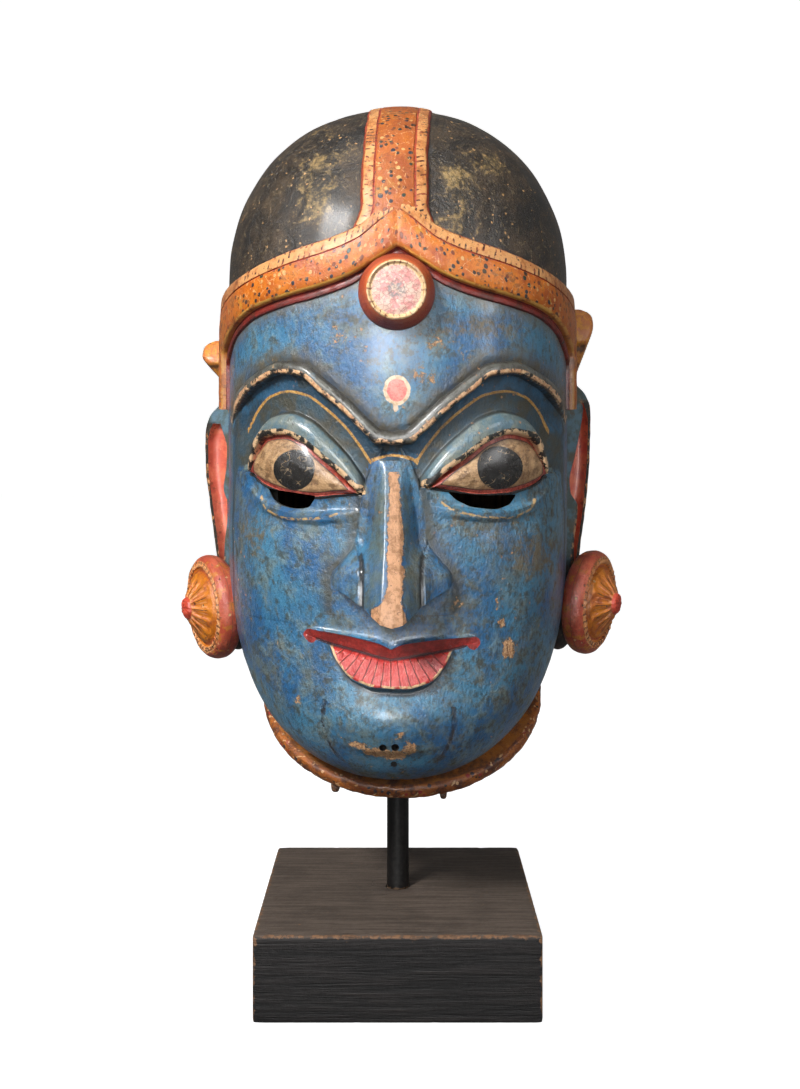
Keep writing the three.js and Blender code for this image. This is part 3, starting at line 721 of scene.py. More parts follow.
def make_ear(side, rim, red):
    """The ear's plate, a rounded section at each height, with its hollow cut from the front."""
    top = EAR_TOP + (EAR_LIFT if side > 0 else 0.0)
    z = np.concatenate(
        [np.linspace(top + 14, top - 12, 26)[:-1], np.linspace(top - 12, EAR_LOW, 60)]
    )
    reach_of = curve(
        (EAR_LOW, 17.0), (EAR_LOW + 14, 19.0), (EAR_LOW + 40, 23.8), (top - 34, 27.0),
        (top - 12, 27.4),
        (top - 4, 25.4), (top + 2, 19.5), (top + 7, 12.0), (top + 14, 3.0),
    )
    reach = reach_of(z) + 0.25 * ripple(z * 0.35, 0, side)
    turn = np.linspace(0, 2 * np.pi, 32, endpoint=False)
    power = 2.0 / 7.0
    inner = -9.0
    x = (reach + inner)[:, None] / 2 + (reach - inner)[:, None] / 2 * signed_power(
        np.cos(turn), power
    )
    y = EAR_DEPTH / 2 + EAR_DEPTH / 2 * signed_power(np.sin(turn), power)
    slope = 5.0 * smooth(z, top - 16, top + 12)[:, None]
    rings = np.stack(np.broadcast_arrays(x, y + slope, z[:, None]), -1)
    laid = np.concatenate([reach[:, None] - x, (reach[:, None] - x)[:, :1]], 1)
    ear = skin("ear", to_ear(side, rings), [rim], laid, top - z[:, None])
    z = np.linspace(top - 8.5, EAR_LOW - 6, 70)
    outer = reach_of(z) - 3.6 - 2.6 * smooth(z, top - 20, top - 8)
    if side < 0:
        tragus = curve(
            (218, 11.5), (240, 10.5), (252, 8.6), (262, 7.2), (272, 11.2), (285, 9.0), (296, 8.6),
            (304, 11.5), (312, 16)
        )
    else:
        tragus = curve(
            (218, 12.5), (240, 12.6), (252, 14.6), (262, 15.6), (270, 10.0), (277, 9.2), (290, 13),
            (306, 17.5), (322, 21)
        )
    root = np.minimum(tragus(z), outer - 1.2)
    turn = np.linspace(0, 2 * np.pi, 32, endpoint=False)
    power = 2.0 / 3.0
    x = (outer + root)[:, None] / 2 + (outer - root)[:, None] / 2 * signed_power(
        np.cos(turn), power
    )
    floor = 7.5
    y = floor * signed_power(np.sin(turn), power) - 0.5
    y = np.where(y < 0, y * 2.4, y)
    rings = np.stack(np.broadcast_arrays(x, y, z[:, None]), -1)
    combine(
        ear, skin("ear_hollow", to_ear(side, rings), [red], 0 * z[:, None], z[:, None]),
        "DIFFERENCE"
    )
    return ear


def make_lobe(side, material):
    """The lobe that carries a disc: an upright ellipsoid."""
    v = np.linspace(0, np.pi, 26)[1:-1, None]
    u = np.linspace(0, 2 * np.pi, 32, endpoint=False)[None, :]
    x = 11.9 * np.sin(v) * np.cos(u)
    y = 14.0 * np.sin(v) * np.sin(u)
    z = 26.6 * np.cos(v) * np.ones(u.shape)
    rings = np.stack([x + side * 92, y + 8, z + DISC_Z - 1], -1)
    return skin("ear_lobe", rings, [material])


TAB_X, TAB_Y, TAB_DEPTH, TAB_TIP, TAB_TOP, TAB_REACH, TAB_LIFT = 90.0, -2.0, 22.0, 314.0, 357.0, 22.0, 18.0


def make_tab(side, material):
    """A folded wedge above the ear, wide above and pointed below, standing proud at its fold."""
    lift = TAB_LIFT if side > 0 else 0.0
    top = TAB_TOP + lift
    fold = mix(top, TAB_TIP, 0.33)
    z = np.concatenate([np.linspace(top, top - 9, 12)[:-1], np.linspace(top - 9, TAB_TIP, 44)])
    reach = curve(
        (TAB_TIP, 7.0), (TAB_TIP + 19, 11.0), (fold, 18.8), (top - 9, TAB_REACH), (top - 5, 21.6),
        (top - 2, 19.6), (top, 15.5)
    )(z)
    front = curve(
        (TAB_TIP, 5.5), (fold - 1, 0.6), (fold + 1, -1.4), (top - 3, 3.2), (top, 6.0)
    )(z) + TAB_Y
    back = TAB_Y + TAB_DEPTH - 7 * smooth(z, fold, TAB_TIP)
    turn = np.linspace(0, 2 * np.pi, 36, endpoint=False)
    power = 2.0 / 6.0
    x = (reach - 6)[:, None] / 2 + (reach + 6)[:, None] / 2 * signed_power(np.cos(turn), power)
    y = (front + back)[:, None] / 2 + (back - front)[:, None] / 2 * signed_power(
        np.sin(turn), power
    )
    rings = np.stack(np.broadcast_arrays(side * (x + TAB_X), y, z[:, None]), -1)
    laid = np.concatenate([reach[:, None] - x, (reach[:, None] - x)[:, :1]], 1)
    return skin("side_tab", rings, [material], laid, ((top - z) / (top - TAB_TIP))[:, None])


# ---- Neck and collar ----
def make_collar(material):
    """The collar: a ring in a tilted plane, with a worn lower edge, and the neck inside it."""
    outline = fine([
        (64, 34), (NECK_RADIUS, 34), (NECK_RADIUS, 18), (NECK_RADIUS, 4), (69.6, 2.0), (72.0, 1.3),
        (76.2, 0.9),
        (78.6, 0.1), (79.4, -1.6), (79.5, -3.6), (79.1, -5.6), (78.0, -7.6), (75.6, -8.8),
        (70, -8.9), (64, -8.6),
        (HOLE_RADIUS, -8.6), (HOLE_RADIUS, 12), (HOLE_RADIUS, 34), (64, 34),
    ], 57)[:-1]
    sides = 190
    angle = np.arange(sides) / sides * 2 * np.pi
    radius, height = outline[:, 0][None, :], outline[:, 1][None, :]
    edge = smooth(radius, 71, 78)
    low = smooth(height, -4.5, -8.5) * edge
    wave = ripple(angle[:, None] * 31, height * 0.2, 1) + 0.7 * ripple(
        angle[:, None] * 74, 0 * height, 5
    )
    radius = radius + edge * (0.35 * wave - 0.5 * low * (wave > 0.2))
    height = height + low * (0.9 * np.maximum(0, ripple(angle[:, None] * 47, 0 * height, 8)) - 0.2)
    # Broken marks are cut across the collar's face.
    mark = smooth(
        np.sin(angle[:, None] * 34 + ripple(angle[:, None] * 9, 0 * height, 2) * 3 + height * 0.55),
        0.75, 0.95
    )
    radius = radius - 0.45 * mark * smooth(radius, 77.5, 78.8)
    points = np.stack(
        [radius * np.cos(angle)[:, None], radius * np.sin(angle)[:, None], height + 0 * radius], -1
    )
    return ring_of("collar", tilted(points), material, outline)


def ring_of(name, rings, material, outline):
    """A surface closed both ways, like a tyre: rings[round, across]."""
    rows, around = rings.shape[:2]
    points = rings.reshape(-1, 3)
    row, col = np.meshgrid(np.arange(rows), np.arange(around), indexing="ij")
    row, col = row.ravel(), col.ravel()
    down, step = (row + 1) % rows, (col + 1) % around
    a, b, c, d = row * around + col, row * around + step, down * around + step, down * around + col
    walked = np.cumsum(
        np.r_[0, np.linalg.norm(np.diff(np.r_[outline, outline[:1]], axis=0), axis=1)]
    )
    round_mm = np.arange(rows + 1) / rows * 2 * np.pi * COLLAR_RADIUS
    la = np.stack([round_mm[row], walked[col]], -1)
    lb = np.stack([round_mm[row], walked[col + 1]], -1)
    lc = np.stack([round_mm[row + 1], walked[col + 1]], -1)
    ld = np.stack([round_mm[row + 1], walked[col]], -1)
    triangles = np.concatenate([np.stack([a, b, c], -1), np.stack([a, c, d], -1)])
    pattern = np.concatenate([np.stack([la, lb, lc], 1), np.stack([la, lc, ld], 1)])
    return solid(name, points, triangles, pattern, [material])


# Where the stubs stand on the collar's underside, in the collar's own plane.
STUB_RADIUS, STUB_Z = 76.0, -9.4


def make_stub(centre, size, material):
    """A worn stub of carving under the collar: a small rounded block."""
    v = np.linspace(0, np.pi, 14)[1:-1, None]
    u = np.linspace(0, 2 * np.pi, 16, endpoint=False)[None, :]
    x = size * signed_power(np.sin(v), 0.7) * signed_power(np.cos(u), 0.7)
    y = size * signed_power(np.sin(v), 0.7) * signed_power(np.sin(u), 0.7)
    z = 1.6 * size * signed_power(np.cos(v), 0.8) * np.ones(u.shape)
    return skin(
        "stub", np.stack([x, y, z], -1) + np.array(centre, float), [material], 30 + 0 * v,
        60 + 0 * v
    )


# ---- Cuts ----
def hollow_cut(material):
    """The head's own form, inset by the wall, stopped above the neck."""
    v = np.linspace(0, 1, 56)[1:-1, None]
    z = mix(CROWN_Z - WALL, CHIN_Z + WALL, 0.5 - 0.5 * np.cos(v * np.pi))
    a = np.linspace(-np.pi, np.pi, 72, endpoint=False)[None, :]
    z, a = np.broadcast_arrays(z, a)
    rings = section_point(z, a, WALL)
    middle = np.stack([0 * z[..., 0], 0 * z[..., 0] - 20, z[..., 0]], -1)[:, None]
    gouge = 0.7 * ripple(a * 9, z * 0.11, 3) + 0.4 * ripple(a * 23, z * 0.2, 7)
    direction = rings - middle
    direction /= np.maximum(np.linalg.norm(direction, axis=-1, keepdims=True), 1e-6)
    rings = rings + direction * gouge[..., None] * 0.7
    ends = (np.array([0.0, CROWN_Y, CROWN_Z - WALL]), np.array([0.0, CHIN_Y, CHIN_Z + WALL]))
    return skin("hollow", rings, [material], ends=ends)


def tilted_block(height, size, material):
    low, high = (-size / 2, -size / 2, height - size), (size / 2, size / 2, height)
    return block("under_jaw", tilted(box_corners(low, high)), material)


def neck_hole(material):
    rings = turned([(HOLE_RADIUS, -30), (HOLE_RADIUS, 30)], 96)
    ends = (np.array([0.0, 0.0, -30.0]), np.array([0.0, 0.0, 30.0]))
    return skin("neck_hole", tilted(rings), [material], ends=tuple(tilted(e) for e in ends))


slit_left_top = curve((-64.8, 274.9), (-60, 274.2), (-50, 273.2), (-42.2, 272.2))
slit_left_foot = curve(
    (-64.8, 274.2), (-62.5, 270.0), (-58, 266.9), (-52, 265.8), (-46, 266.4), (-42.2, 270.8)
)
slit_right_top = curve((25.5, 274.5), (35, 273.2), (47, 272.3), (58.5, 272.3))
slit_right_foot = curve(
    (25.5, 274.0), (30.7, 269.8), (39.2, 266.5), (49, 265.6), (55.5, 267.6), (58.5, 271.6)
)


def slit_cut(inner, outer, top, foot, material):
    """A see-slit under an eye, right through the wall and a little wider behind."""
    x = np.linspace(inner, outer, 40)
    outline = np.concatenate([
        np.stack([x, top(x)], -1), np.stack([x[::-1], foot(x[::-1])], -1),
    ])
    depth = np.array([-125.0, -92.0, -60.0])
    grow = np.array([1.0, 1.0, 1.25])
    centre = outline.mean(0)
    flat = centre + (outline - centre) * grow[:, None, None]
    rings = np.stack(
        [flat[..., 0], np.broadcast_to(depth[:, None], flat.shape[:2]), flat[..., 1]], -1
    )
    return skin("see_slit", rings, [material])


def drilled(x, z, radius, material):
    """A short round hole into the chin."""
    rings = turned([(radius, 0), (radius, 20)], 20)
    place = np.stack([rings[..., 0] + x, -99.0 + rings[..., 2] * 0.8, rings[..., 1] + z], -1)
    return skin("nail_hole", place, [material])


# ---- Painted fields, worked out for each corner from its place on the face ----
def slope_of(line, t):
    return np.sqrt(1.0 + ((line(t + 0.5) - line(t - 0.5))) ** 2)


def spots(x, z, places):
    """The greatest of several soft ovals, strength * (1 - r^2).

    Each spot is (x, z, half width, half height, strength).
    """
    field = np.full(x.shape, -1.0)
    for cx, cz, rx, rz, strength in places:
        r2 = ((x - cx) / rx) ** 2 + ((z - cz) / rz) ** 2
        field = np.maximum(field, strength * (1.0 - r2))
    return field


WORN_TO_WOOD = [
    (-28, 152, 7, 2.6, 0.6), (-20, 148, 9, 3.4, 0.8), (-10, 144, 10, 4.6, 0.95),
    (-1, 142, 9, 5, 0.95), (6, 147, 5, 6, 0.8), (1, 154, 5, 4, 0.5),
    (57, 193, 5.0, 9, 0.95), (53, 207, 3.0, 4.5, 0.9), (50, 218, 2.0, 9, 0.5),
    (38, 237, 3, 8, 0.45),
    (-56, 187, 3.0, 3.0, 0.55), (-62, 205, 1.6, 18, 0.4), (70, 187, 2.0, 8, 0.5),
    (-51, 168, 4, 4, 0.45),
    (11, 333, 7.5, 9, 0.55), (17, 331, 4, 5, 0.55), (-1, 347, 2.6, 8, 0.42), (21, 350, 26, 7, 0.36),
    (40, 342, 30, 8, 0.34), (-34, 352, 14, 9, 0.42), (-62, 340, 14, 7, 0.3), (3, 318, 3, 3, 0.6),
    (-50, 325, 3, 3, 0.4), (30, 215, 8, 14, 0.3), (66, 262, 12, 14, 0.3), (-70, 258, 7, 16, 0.3),
]
# Spots of grime and of painted shade: (x, z, half width, half height, strength). Those under the nose, the lower lip
# and the chin, beside the nose and along the face's sides are painted shade.
GRIME_AND_SHADE = [
    (66, 244, 26, 24, 1.0), (48, 254, 24, 14, 0.9), (76, 268, 14, 22, 0.8), (-78, 250, 14, 26, 0.8),
    (-66, 262, 12, 10, 0.7), (38, 358, 34, 9, 1.0), (22, 352, 16, 10, 0.8), (-24, 362, 26, 9, 0.75),
    (-60, 352, 30, 7, 0.35), (-26, 262, 12, 16, 0.6), (28, 240, 12, 18, 0.65),
    (34, 214, 12, 20, 0.55),
    (-34, 238, 8, 14, 0.55), (-44, 186, 10, 14, 0.6), (44, 182, 16, 12, 0.6), (0, 168, 40, 6, 0.35),
    (-30, 152, 14, 14, 0.45), (26, 150, 16, 14, 0.45), (-2, 208, 34, 8, 0.5), (0, 312, 20, 6, 0.3),
    (-36, 128, 40, 12, 0.8), (20, 126, 50, 11, 0.7), (80, 205, 10, 50, 0.35),
    (-80, 190, 12, 50, 0.3),
    (12, 240, 9, 30, 0.9), (-16, 266, 9, 20, 0.7), (-60, 300, 16, 6, 0.4), (70, 344, 20, 8, 0.5),
    (-72, 342, 16, 6, 0.5),
    (66, 196, 14, 30, 0.7), (60, 168, 16, 20, 0.7), (-64, 178, 12, 28, 0.5), (24, 188, 10, 10, 0.5),
    (-86, 300, 8, 30, 0.5), (86, 290, 8, 40, 0.6), (0, 300, 14, 7, 0.6), (-34, 212, 16, 10, 0.45),
]
BROWN_SKIN = [
    (30, 262, 10, 6, 0.5), (70, 240, 20, 16, 0.9), (-74, 252, 10, 12, 0.8), (40, 356, 30, 8, 0.8)
]


def paint_fields(x, z, y):
    """All the painted lines and areas of the face, each as a signed distance or a share."""
    t = face_distance(x)
    shift = eye_shift(x, t)
    side = np.sign(x - FACE_X)
    fields = {}
    b = brow_line(t)
    fields["brow"] = np.where(t < 93, (b - z) / np.minimum(slope_of(brow_line, t), 1.5), -30.0)
    gold = gold_line(np.clip(t, 11.4, 82.5)) + 0.3 * shift
    gold_distance = np.abs(z - gold) / slope_of(gold_line, np.clip(t, 12, 82))
    past = np.maximum(np.maximum(11.4 - t, t - 82.5), 0.0)
    bridge = np.abs(np.hypot((x + 2.2) * 0.62, z - 283.6) - 9.2)
    bridge = np.where((z > 287) & (np.abs(x + 2.2) < 12.5), bridge, 20.0)
    fields["gold"] = np.minimum(gold_distance + past * 3.0, bridge)
    f = eye_foot(t) + shift
    e = np.maximum(eye_top(t) + shift, f + 0.05)
    k = np.minimum(slope_of(brow_line, t), 1.5)
    lid = np.minimum(np.maximum(lid_line(t) + shift, e + 3.0), b - 6.9 * k - 2.2)
    brow_foot = b - 6.4 * k
    upper = (brow_foot - z) / np.maximum(brow_foot - gold, 1.0)
    lower = 1.0 + (gold - z) / np.maximum(gold - lid, 1.0)
    under = np.where(z > gold, upper, np.minimum(lower, 4.0))
    fade = smooth(t, 92, 87)
    nose_out = np.abs(x - FACE_X + 0.4) - nose_foot(z)
    on_nose_root = (nose_out < 0.6) & (z < 289.5)
    fields["under_brow"] = np.where((z > 262) & ~on_nose_root, under, 5.0) * fade - 1.0 * (1 - fade)
    fields["nose_edge"] = np.where((z > 212) & (z < 286), nose_out, 30.0)
    fields["lid"] = np.where((t > 13) & (t < 84), (lid - z) / np.maximum(lid - e, 1.0), -1.0)
    top_d = (e - z) / slope_of(eye_top, np.clip(t, 19, 76))
    foot_d = (z - f) / slope_of(eye_foot, np.clip(t, 19, 76))
    ends = np.minimum(t - 17.6, 77.4 - t) * 0.9
    fields["eye"] = np.minimum(np.minimum(top_d, foot_d), ends)
    px = np.where(side < 0, -52.3, 51.7)
    pz = np.where(side < 0, 285.3, 286.3)
    rx = np.where(side < 0, 10.85, 11.85)
    rz = np.where(side < 0, 10.25, 11.0)
    lean = np.where(side < 0, -0.22, 0.10)
    u, v = x - px, z - pz
    u, v = u * np.cos(lean) - v * np.sin(lean), u * np.sin(lean) + v * np.cos(lean)
    fields["pupil"] = (1.0 - np.sqrt((u / rx) ** 2 + (v / rz) ** 2)) * 10.5
    lash = lash_line(np.clip(t, 21.5, 72.5)) + shift
    lash_past = np.maximum(np.maximum(21.5 - t, t - 72.5), 0.0)
    fields["lash"] = np.abs(z - lash) / slope_of(lash_line, np.clip(t, 22, 72)) + lash_past * 2
    m = np.abs(x - MOUTH_X)
    tilt = lip_tilt(x)
    lt, ll, lf = lip_top(m) + tilt, lip_line(m) + tilt, lip_foot(m) + tilt
    upper_lip = np.minimum(np.minimum(lt - z, z - ll + 0.2), 41.5 - m)
    dot_left = 3.6 - np.hypot(x + 44.3, z - 201.4)
    dot_right = 3.4 - np.hypot(x - 38.4, z - 197.9)
    fields["upper_lip"] = np.maximum(upper_lip, np.maximum(dot_left, dot_right))
    fields["lower_lip"] = np.minimum(
        np.minimum(ll - 0.4 - z, (z - lf) / slope_of(lip_foot, np.clip(m, 1, 30))), 33 - m
    )
    fields["lip_edge"] = (z - lf) / slope_of(lip_foot, np.clip(m, 1, 30))
    fields["parting_shade"] = np.abs(z - ll + 0.2) + np.maximum(m - 38.0, 0.0)
    fields["ledge"] = np.where((m < 31) & (z < lf), lf - z, 20.0)
    fields["fan"] = np.arctan2(x - MOUTH_X, 214.0 - z) * 57.2958
    strip = curve(
        (208, 9.5), (214, 9.2), (219, 7.4), (224, 4.2), (232, 3.8), (250, 3.7), (270, 2.9),
        (284, 2.6), (288, -1.0)
    )
    strip_x = curve((208, -4.6), (218, -4.2), (230, -1.2), (250, -1.2), (286, -1.8))
    on_nose = np.where((y < -100) & (z < 290) & (z > 207), 0.0, -20.0)
    fields["ridge"] = np.where(z < 289, strip(z) - np.abs(x - strip_x(z)), -20.0) + on_nose
    arc = wing_arc(z) - np.abs(x - FACE_X + 0.4)
    fields["wing"] = np.where((z > 214) & (z < 252) & (y < -98), np.abs(arc), 20.0)
    fields["tilak"] = np.hypot(x + 0.4, (z - 325.3) * 0.92)
    drip = np.minimum(1.4 + (z - 311) * 0.05 - np.abs(x + 0.8), np.minimum(z - 313.5, 320 - z))
    mark = np.minimum(0.75 - np.abs(x + 0.6), np.minimum(z - 332, 339 - z))
    fields["drip"] = np.maximum(drip, mark)
    chin = np.abs(np.hypot(x + 4.6, z - 160.0) - 33.0)
    chin = np.where(
        (z < 178) & (z > 136) & (np.abs(x + 4.6) > 20) & ~((x > 0) & (z > 168)), chin, 20.0
    )
    fields["crack"] = chin
    fields["worn"] = spots(x, z, WORN_TO_WOOD)
    # The grime field holds grime patches and painted shade.
    fields["grime"] = spots(x, z, GRIME_AND_SHADE)
    fields["brown"] = spots(x, z, BROWN_SKIN)
    band = band_foot(np.abs(x + 1.0)) - z
    fields["below_band"] = np.where(z > 330, band, 60.0)
    return fields


# ---- Shader arithmetic ----
def colour(red, green, blue):
    """A plain colour from 0-255 screen values, as linear light."""
    screen = np.array([red, green, blue]) / 255.0
    light = np.where(screen <= 0.04045, screen / 12.92, ((screen + 0.055) / 1.055) ** 2.4)
    return (float(light[0]), float(light[1]), float(light[2]), 1.0)


class Value:
    """A shader socket that takes part in arithmetic: an expression adds its Math nodes."""

    def __init__(self, shader, socket):
        self.shader = shader
        self.socket = socket

    def math(self, operation, *terms):
        made = self.shader.tree.nodes.new("ShaderNodeMath")
        made.operation = operation
        for i, term in enumerate(terms):
            self.shader.feed(made.inputs[i], term)
        return Value(self.shader, made.outputs[0])

    def __add__(self, other):
        return self.math("ADD", self, other)

    def __radd__(self, other):
        return self.math("ADD", other, self)

    def __sub__(self, other):
        return self.math("SUBTRACT", self, other)

    def __rsub__(self, other):
        return self.math("SUBTRACT", other, self)

    def __mul__(self, other):
        return self.math("MULTIPLY", self, other)

    def __rmul__(self, other):
        return self.math("MULTIPLY", other, self)

    def __truediv__(self, other):
        return self.math("DIVIDE", self, other)

    def __neg__(self):
        return self.math("MULTIPLY", self, -1.0)

    def __abs__(self):
        return self.math("ABSOLUTE", self)

    def fraction(self):
        return self.math("FRACT", self)

    def most(self, other):
        return self.math("MAXIMUM", self, other)


class Shader:
    """A material under construction."""

    def __init__(self, name):
        self.material = bpy.data.materials.new(name)
        self.material.use_nodes = True
        self.tree = self.material.node_tree
        self.surface = self.tree.nodes["Principled BSDF"]
        self.place = self.node("ShaderNodeTexCoord", output="Object")
        self.mm = self.node(
            "ShaderNodeVectorMath", {"operation": "SCALE"}, {"Vector": self.place, "Scale": 1000.0}
        )

    def feed(self, socket, value):
        if isinstance(value, Value):
            self.tree.links.new(value.socket, socket)
        else:
            socket.default_value = value

    def node(self, kind, settings=None, inputs=None, output=0):
        made = self.tree.nodes.new(kind)
        for key, value in (settings or {}).items():
            setattr(made, key, value)
        for key, value in (inputs or {}).items():
            self.feed(made.inputs[key], value)
        return Value(self, made.outputs[output])

    def field(self, name):
        return self.node("ShaderNodeAttribute", {"attribute_name": name}, output="Fac")

    def laid(self):
        """The two lengths that a band's patterns are laid out on."""
        uv = self.node("ShaderNodeUVMap", {"uv_map": "Pattern"})
        parts = self.tree.nodes.new("ShaderNodeSeparateXYZ")
        self.feed(parts.inputs[0], uv)
        return Value(self, parts.outputs[0]), Value(self, parts.outputs[1]), uv

    def stretched(self, x, y, z):
        return self.node(
            "ShaderNodeVectorMath", {"operation": "MULTIPLY"}, {0: self.mm, 1: (x, y, z)}
        )

    def noise(self, size, detail=3.0, rough=0.55, at=None, twist=0.0):
        """Noise between 0 and 1 whose patches are about so many millimetres across."""
        return self.node("ShaderNodeTexNoise", None, {
            "Vector": at or self.mm, "Scale": 1.0 / size, "Detail": detail, "Roughness": rough,
            "Distortion": twist,
        })

    def cells(self, size, at=None, random=1.0, kind="F1", output=0):
        return self.node("ShaderNodeTexVoronoi", {"feature": kind}, {
            "Vector": at or self.mm, "Scale": 1.0 / size, "Randomness": random,
        }, output)

    def step(self, value, start, end):
        """0 at start and 1 at end, with level ends."""
        return self.node("ShaderNodeMapRange", {"interpolation_type": "SMOOTHSTEP"}, {
            "Value": value, "From Min": start, "From Max": end, "To Min": 0.0, "To Max": 1.0,
        })

    def fade(self, value, start, end, low=0.0, high=1.0):
        return self.node("ShaderNodeMapRange", None, {
            "Value": value, "From Min": start, "From Max": end, "To Min": low, "To Max": high,
        })

    def mix(self, first, second, share, blend="MIX"):
        made = self.tree.nodes.new("ShaderNodeMix")
        made.data_type = "RGBA"
        made.blend_type = blend
        self.feed(made.inputs[0], share)
        self.feed(made.inputs[6], first)
        self.feed(made.inputs[7], second)
        return Value(self, made.outputs[2])

    def finish(self, base, rough, bumps, coat=0.0, coat_rough=0.25, specular=0.5):
        """Feeds the surface. bumps holds (height in millimetres, strength) pairs."""
        self.feed(self.surface.inputs["Base Color"], base)
        self.feed(self.surface.inputs["Roughness"], rough)
        self.feed(self.surface.inputs["Coat Weight"], coat)
        self.surface.inputs["Coat Roughness"].default_value = coat_rough
        self.surface.inputs["Specular IOR Level"].default_value = specular
        normal = None
        for height, strength in bumps:
            bump = self.tree.nodes.new("ShaderNodeBump")
            bump.inputs["Strength"].default_value = strength
            bump.inputs["Distance"].default_value = MM
            self.feed(bump.inputs["Height"], height)
            if normal is not None:
                self.feed(bump.inputs["Normal"], normal)
            normal = Value(self, bump.outputs[0])
        if normal is not None:
            self.feed(self.surface.inputs["Normal"], normal)
        return self.material


WOOD_TAN = colour(190, 140, 96)
WOOD_DEEP = colour(128, 88, 56)
CREAM = colour(226, 186, 140)
SOOT = colour(28, 24, 20)
GRIME_BROWN = colour(84, 74, 52)


def worn_wood(s):
    """Bare, rubbed wood in two browns with dark pores."""
    grain = s.noise(3.0, 5.0, 0.65, s.stretched(1.0, 1.0, 0.22))
    tone = s.mix(WOOD_DEEP, WOOD_TAN, s.step(grain, 0.34, 0.6))
    pores = s.step(s.noise(1.3, 4.0, 0.7), 0.62, 0.7)
    return s.mix(tone, colour(84, 56, 36), pores * 0.8)


def face_paint():
    s = Shader("painted face")
    broad = s.noise(42.0, 5.0, 0.6)
    middle = s.noise(11.0, 6.0, 0.68, twist=0.6)
    small = s.noise(2.6, 5.0, 0.7)
    tiny = s.noise(0.9, 3.0, 0.6)
    brushed = s.noise(2.0, 4.0, 0.65, s.stretched(1.0, 1.0, 0.4))
    edge = (small - 0.5) * 1.1 + (middle - 0.5) * 0.9
    wobble = (middle - 0.5) * 1.4

    # Body colour: three blues laid over each other, greyer where it is rubbed.
    base = s.mix(colour(26, 88, 136), colour(62, 122, 154), s.step(broad, 0.4, 0.62))
    base = s.mix(base, colour(108, 134, 138), s.step(middle, 0.46, 0.68) * 0.8)
    base = s.mix(base, colour(38, 64, 78), s.step(brushed, 0.5, 0.66) * 0.6)
    dusty = s.step(s.noise(24.0, 6.0, 0.72), 0.5, 0.7)
    base = s.mix(base, colour(100, 108, 94), dusty * 0.7)
    base = s.mix(base, colour(54, 58, 48), s.step(s.noise(5.5, 6.0, 0.75), 0.50, 0.62) * 0.8)

    # Under the brows.
    under = s.field("under_brow")
    in_socket = s.step(under, 0.0, 0.04) * (1.0 - s.step(under, 2.0, 2.15))
    deep_blue = s.mix(
        colour(28, 60, 80), colour(38, 84, 114), s.step(s.noise(20.0, 4.0, 0.6), 0.44, 0.62)
    )
    deep_blue = s.mix(deep_blue, colour(38, 48, 50), s.step(middle, 0.48, 0.62) * 0.8)
    dark_grey = s.mix(
        colour(48, 70, 80), colour(62, 60, 48), s.step(s.noise(16.0, 5.0, 0.65), 0.42, 0.6)
    )
    dark_grey = s.mix(dark_grey, colour(36, 66, 88), s.step(middle, 0.52, 0.66) * 0.7)
    socket_tone = s.mix(deep_blue, dark_grey, s.step(under + (middle - 0.5) * 0.5, 0.9, 1.1))
    base = s.mix(base, socket_tone, in_socket)

    # Eyelid roll: pale and dusty, dark in the groove above it.
    lid = s.field("lid")
    on_lid = s.step(lid, -0.05, 0.06) * (1.0 - s.step(lid, 1.0, 1.06))
    pale = s.mix(colour(90, 110, 114), colour(122, 128, 118), s.step(middle, 0.4, 0.65))
    pale = s.mix(pale, colour(74, 106, 122), s.step(s.noise(6.0, 4.0, 0.6), 0.48, 0.62) * 0.85)
    base = s.mix(base, pale, on_lid)
    crease = 1.0 - s.step(abs(lid + 0.06), 0.0, 0.10)
    base = s.mix(base, colour(44, 44, 38), crease * 0.75 * s.step(small, 0.3, 0.5))

    # Brow band: a shade above, a groove, a rounded grey band and a worn lower edge.
    brow = s.field("brow")
    shade = s.step(brow + (middle - 0.5) * 4.0, -10.5, -1.5) * (1.0 - s.step(brow, 0.2, 0.6))
    base = s.mix(base, colour(88, 82, 70), shade * s.fade(middle, 0.3, 0.6, 0.45, 1.0))
    on_band = s.step(brow, -0.2, 0.1) * (1.0 - s.step(brow, 5.6, 5.9))
    strip = s.mix(colour(90, 90, 82), colour(58, 54, 46), s.step(s.noise(9.0, 5.0, 0.7), 0.4, 0.6))
    strip = s.mix(strip, colour(70, 96, 112), s.step(middle, 0.56, 0.7) * 0.8)
    base = s.mix(base, strip, on_band)
    groove = 1.0 - s.step(abs(brow - 0.2), 0.2, 0.8)
    base = s.mix(base, colour(40, 36, 30), groove * s.fade(small, 0.3, 0.55, 0.5, 0.95))
    rim = s.step(brow + wobble * 2.0, 3.5, 3.8) * (1.0 - s.step(brow, 6.1, 6.5))
    patches = s.step(s.noise(5.5, 4.0, 0.65), 0.44, 0.50)
    rim_tone = s.mix(SOOT, s.mix(CREAM, colour(196, 140, 98), s.step(small, 0.4, 0.6)), patches)
    base = s.mix(base, rim_tone, rim * s.step(s.noise(12.0, 3.0, 0.6) + small * 0.2, 0.46, 0.53))
    black_edge = s.step(brow, 5.5, 5.8) * (1.0 - s.step(brow, 6.7, 7.3))
    base = s.mix(base, colour(30, 34, 36), black_edge * 0.8 * s.step(small, 0.36, 0.5))

    # Gold lines.
    gold = s.field("gold")
    line = (1.0 - s.step(gold + (small - 0.5) * 0.5, 0.5, 0.85)) * s.fade(
        s.noise(7.0, 3.0, 0.6), 0.3, 0.42, 0.35, 0.95
    )
    base = s.mix(
        base, s.mix(colour(176, 122, 42), colour(204, 158, 84), s.step(tiny, 0.4, 0.6)), line
    )

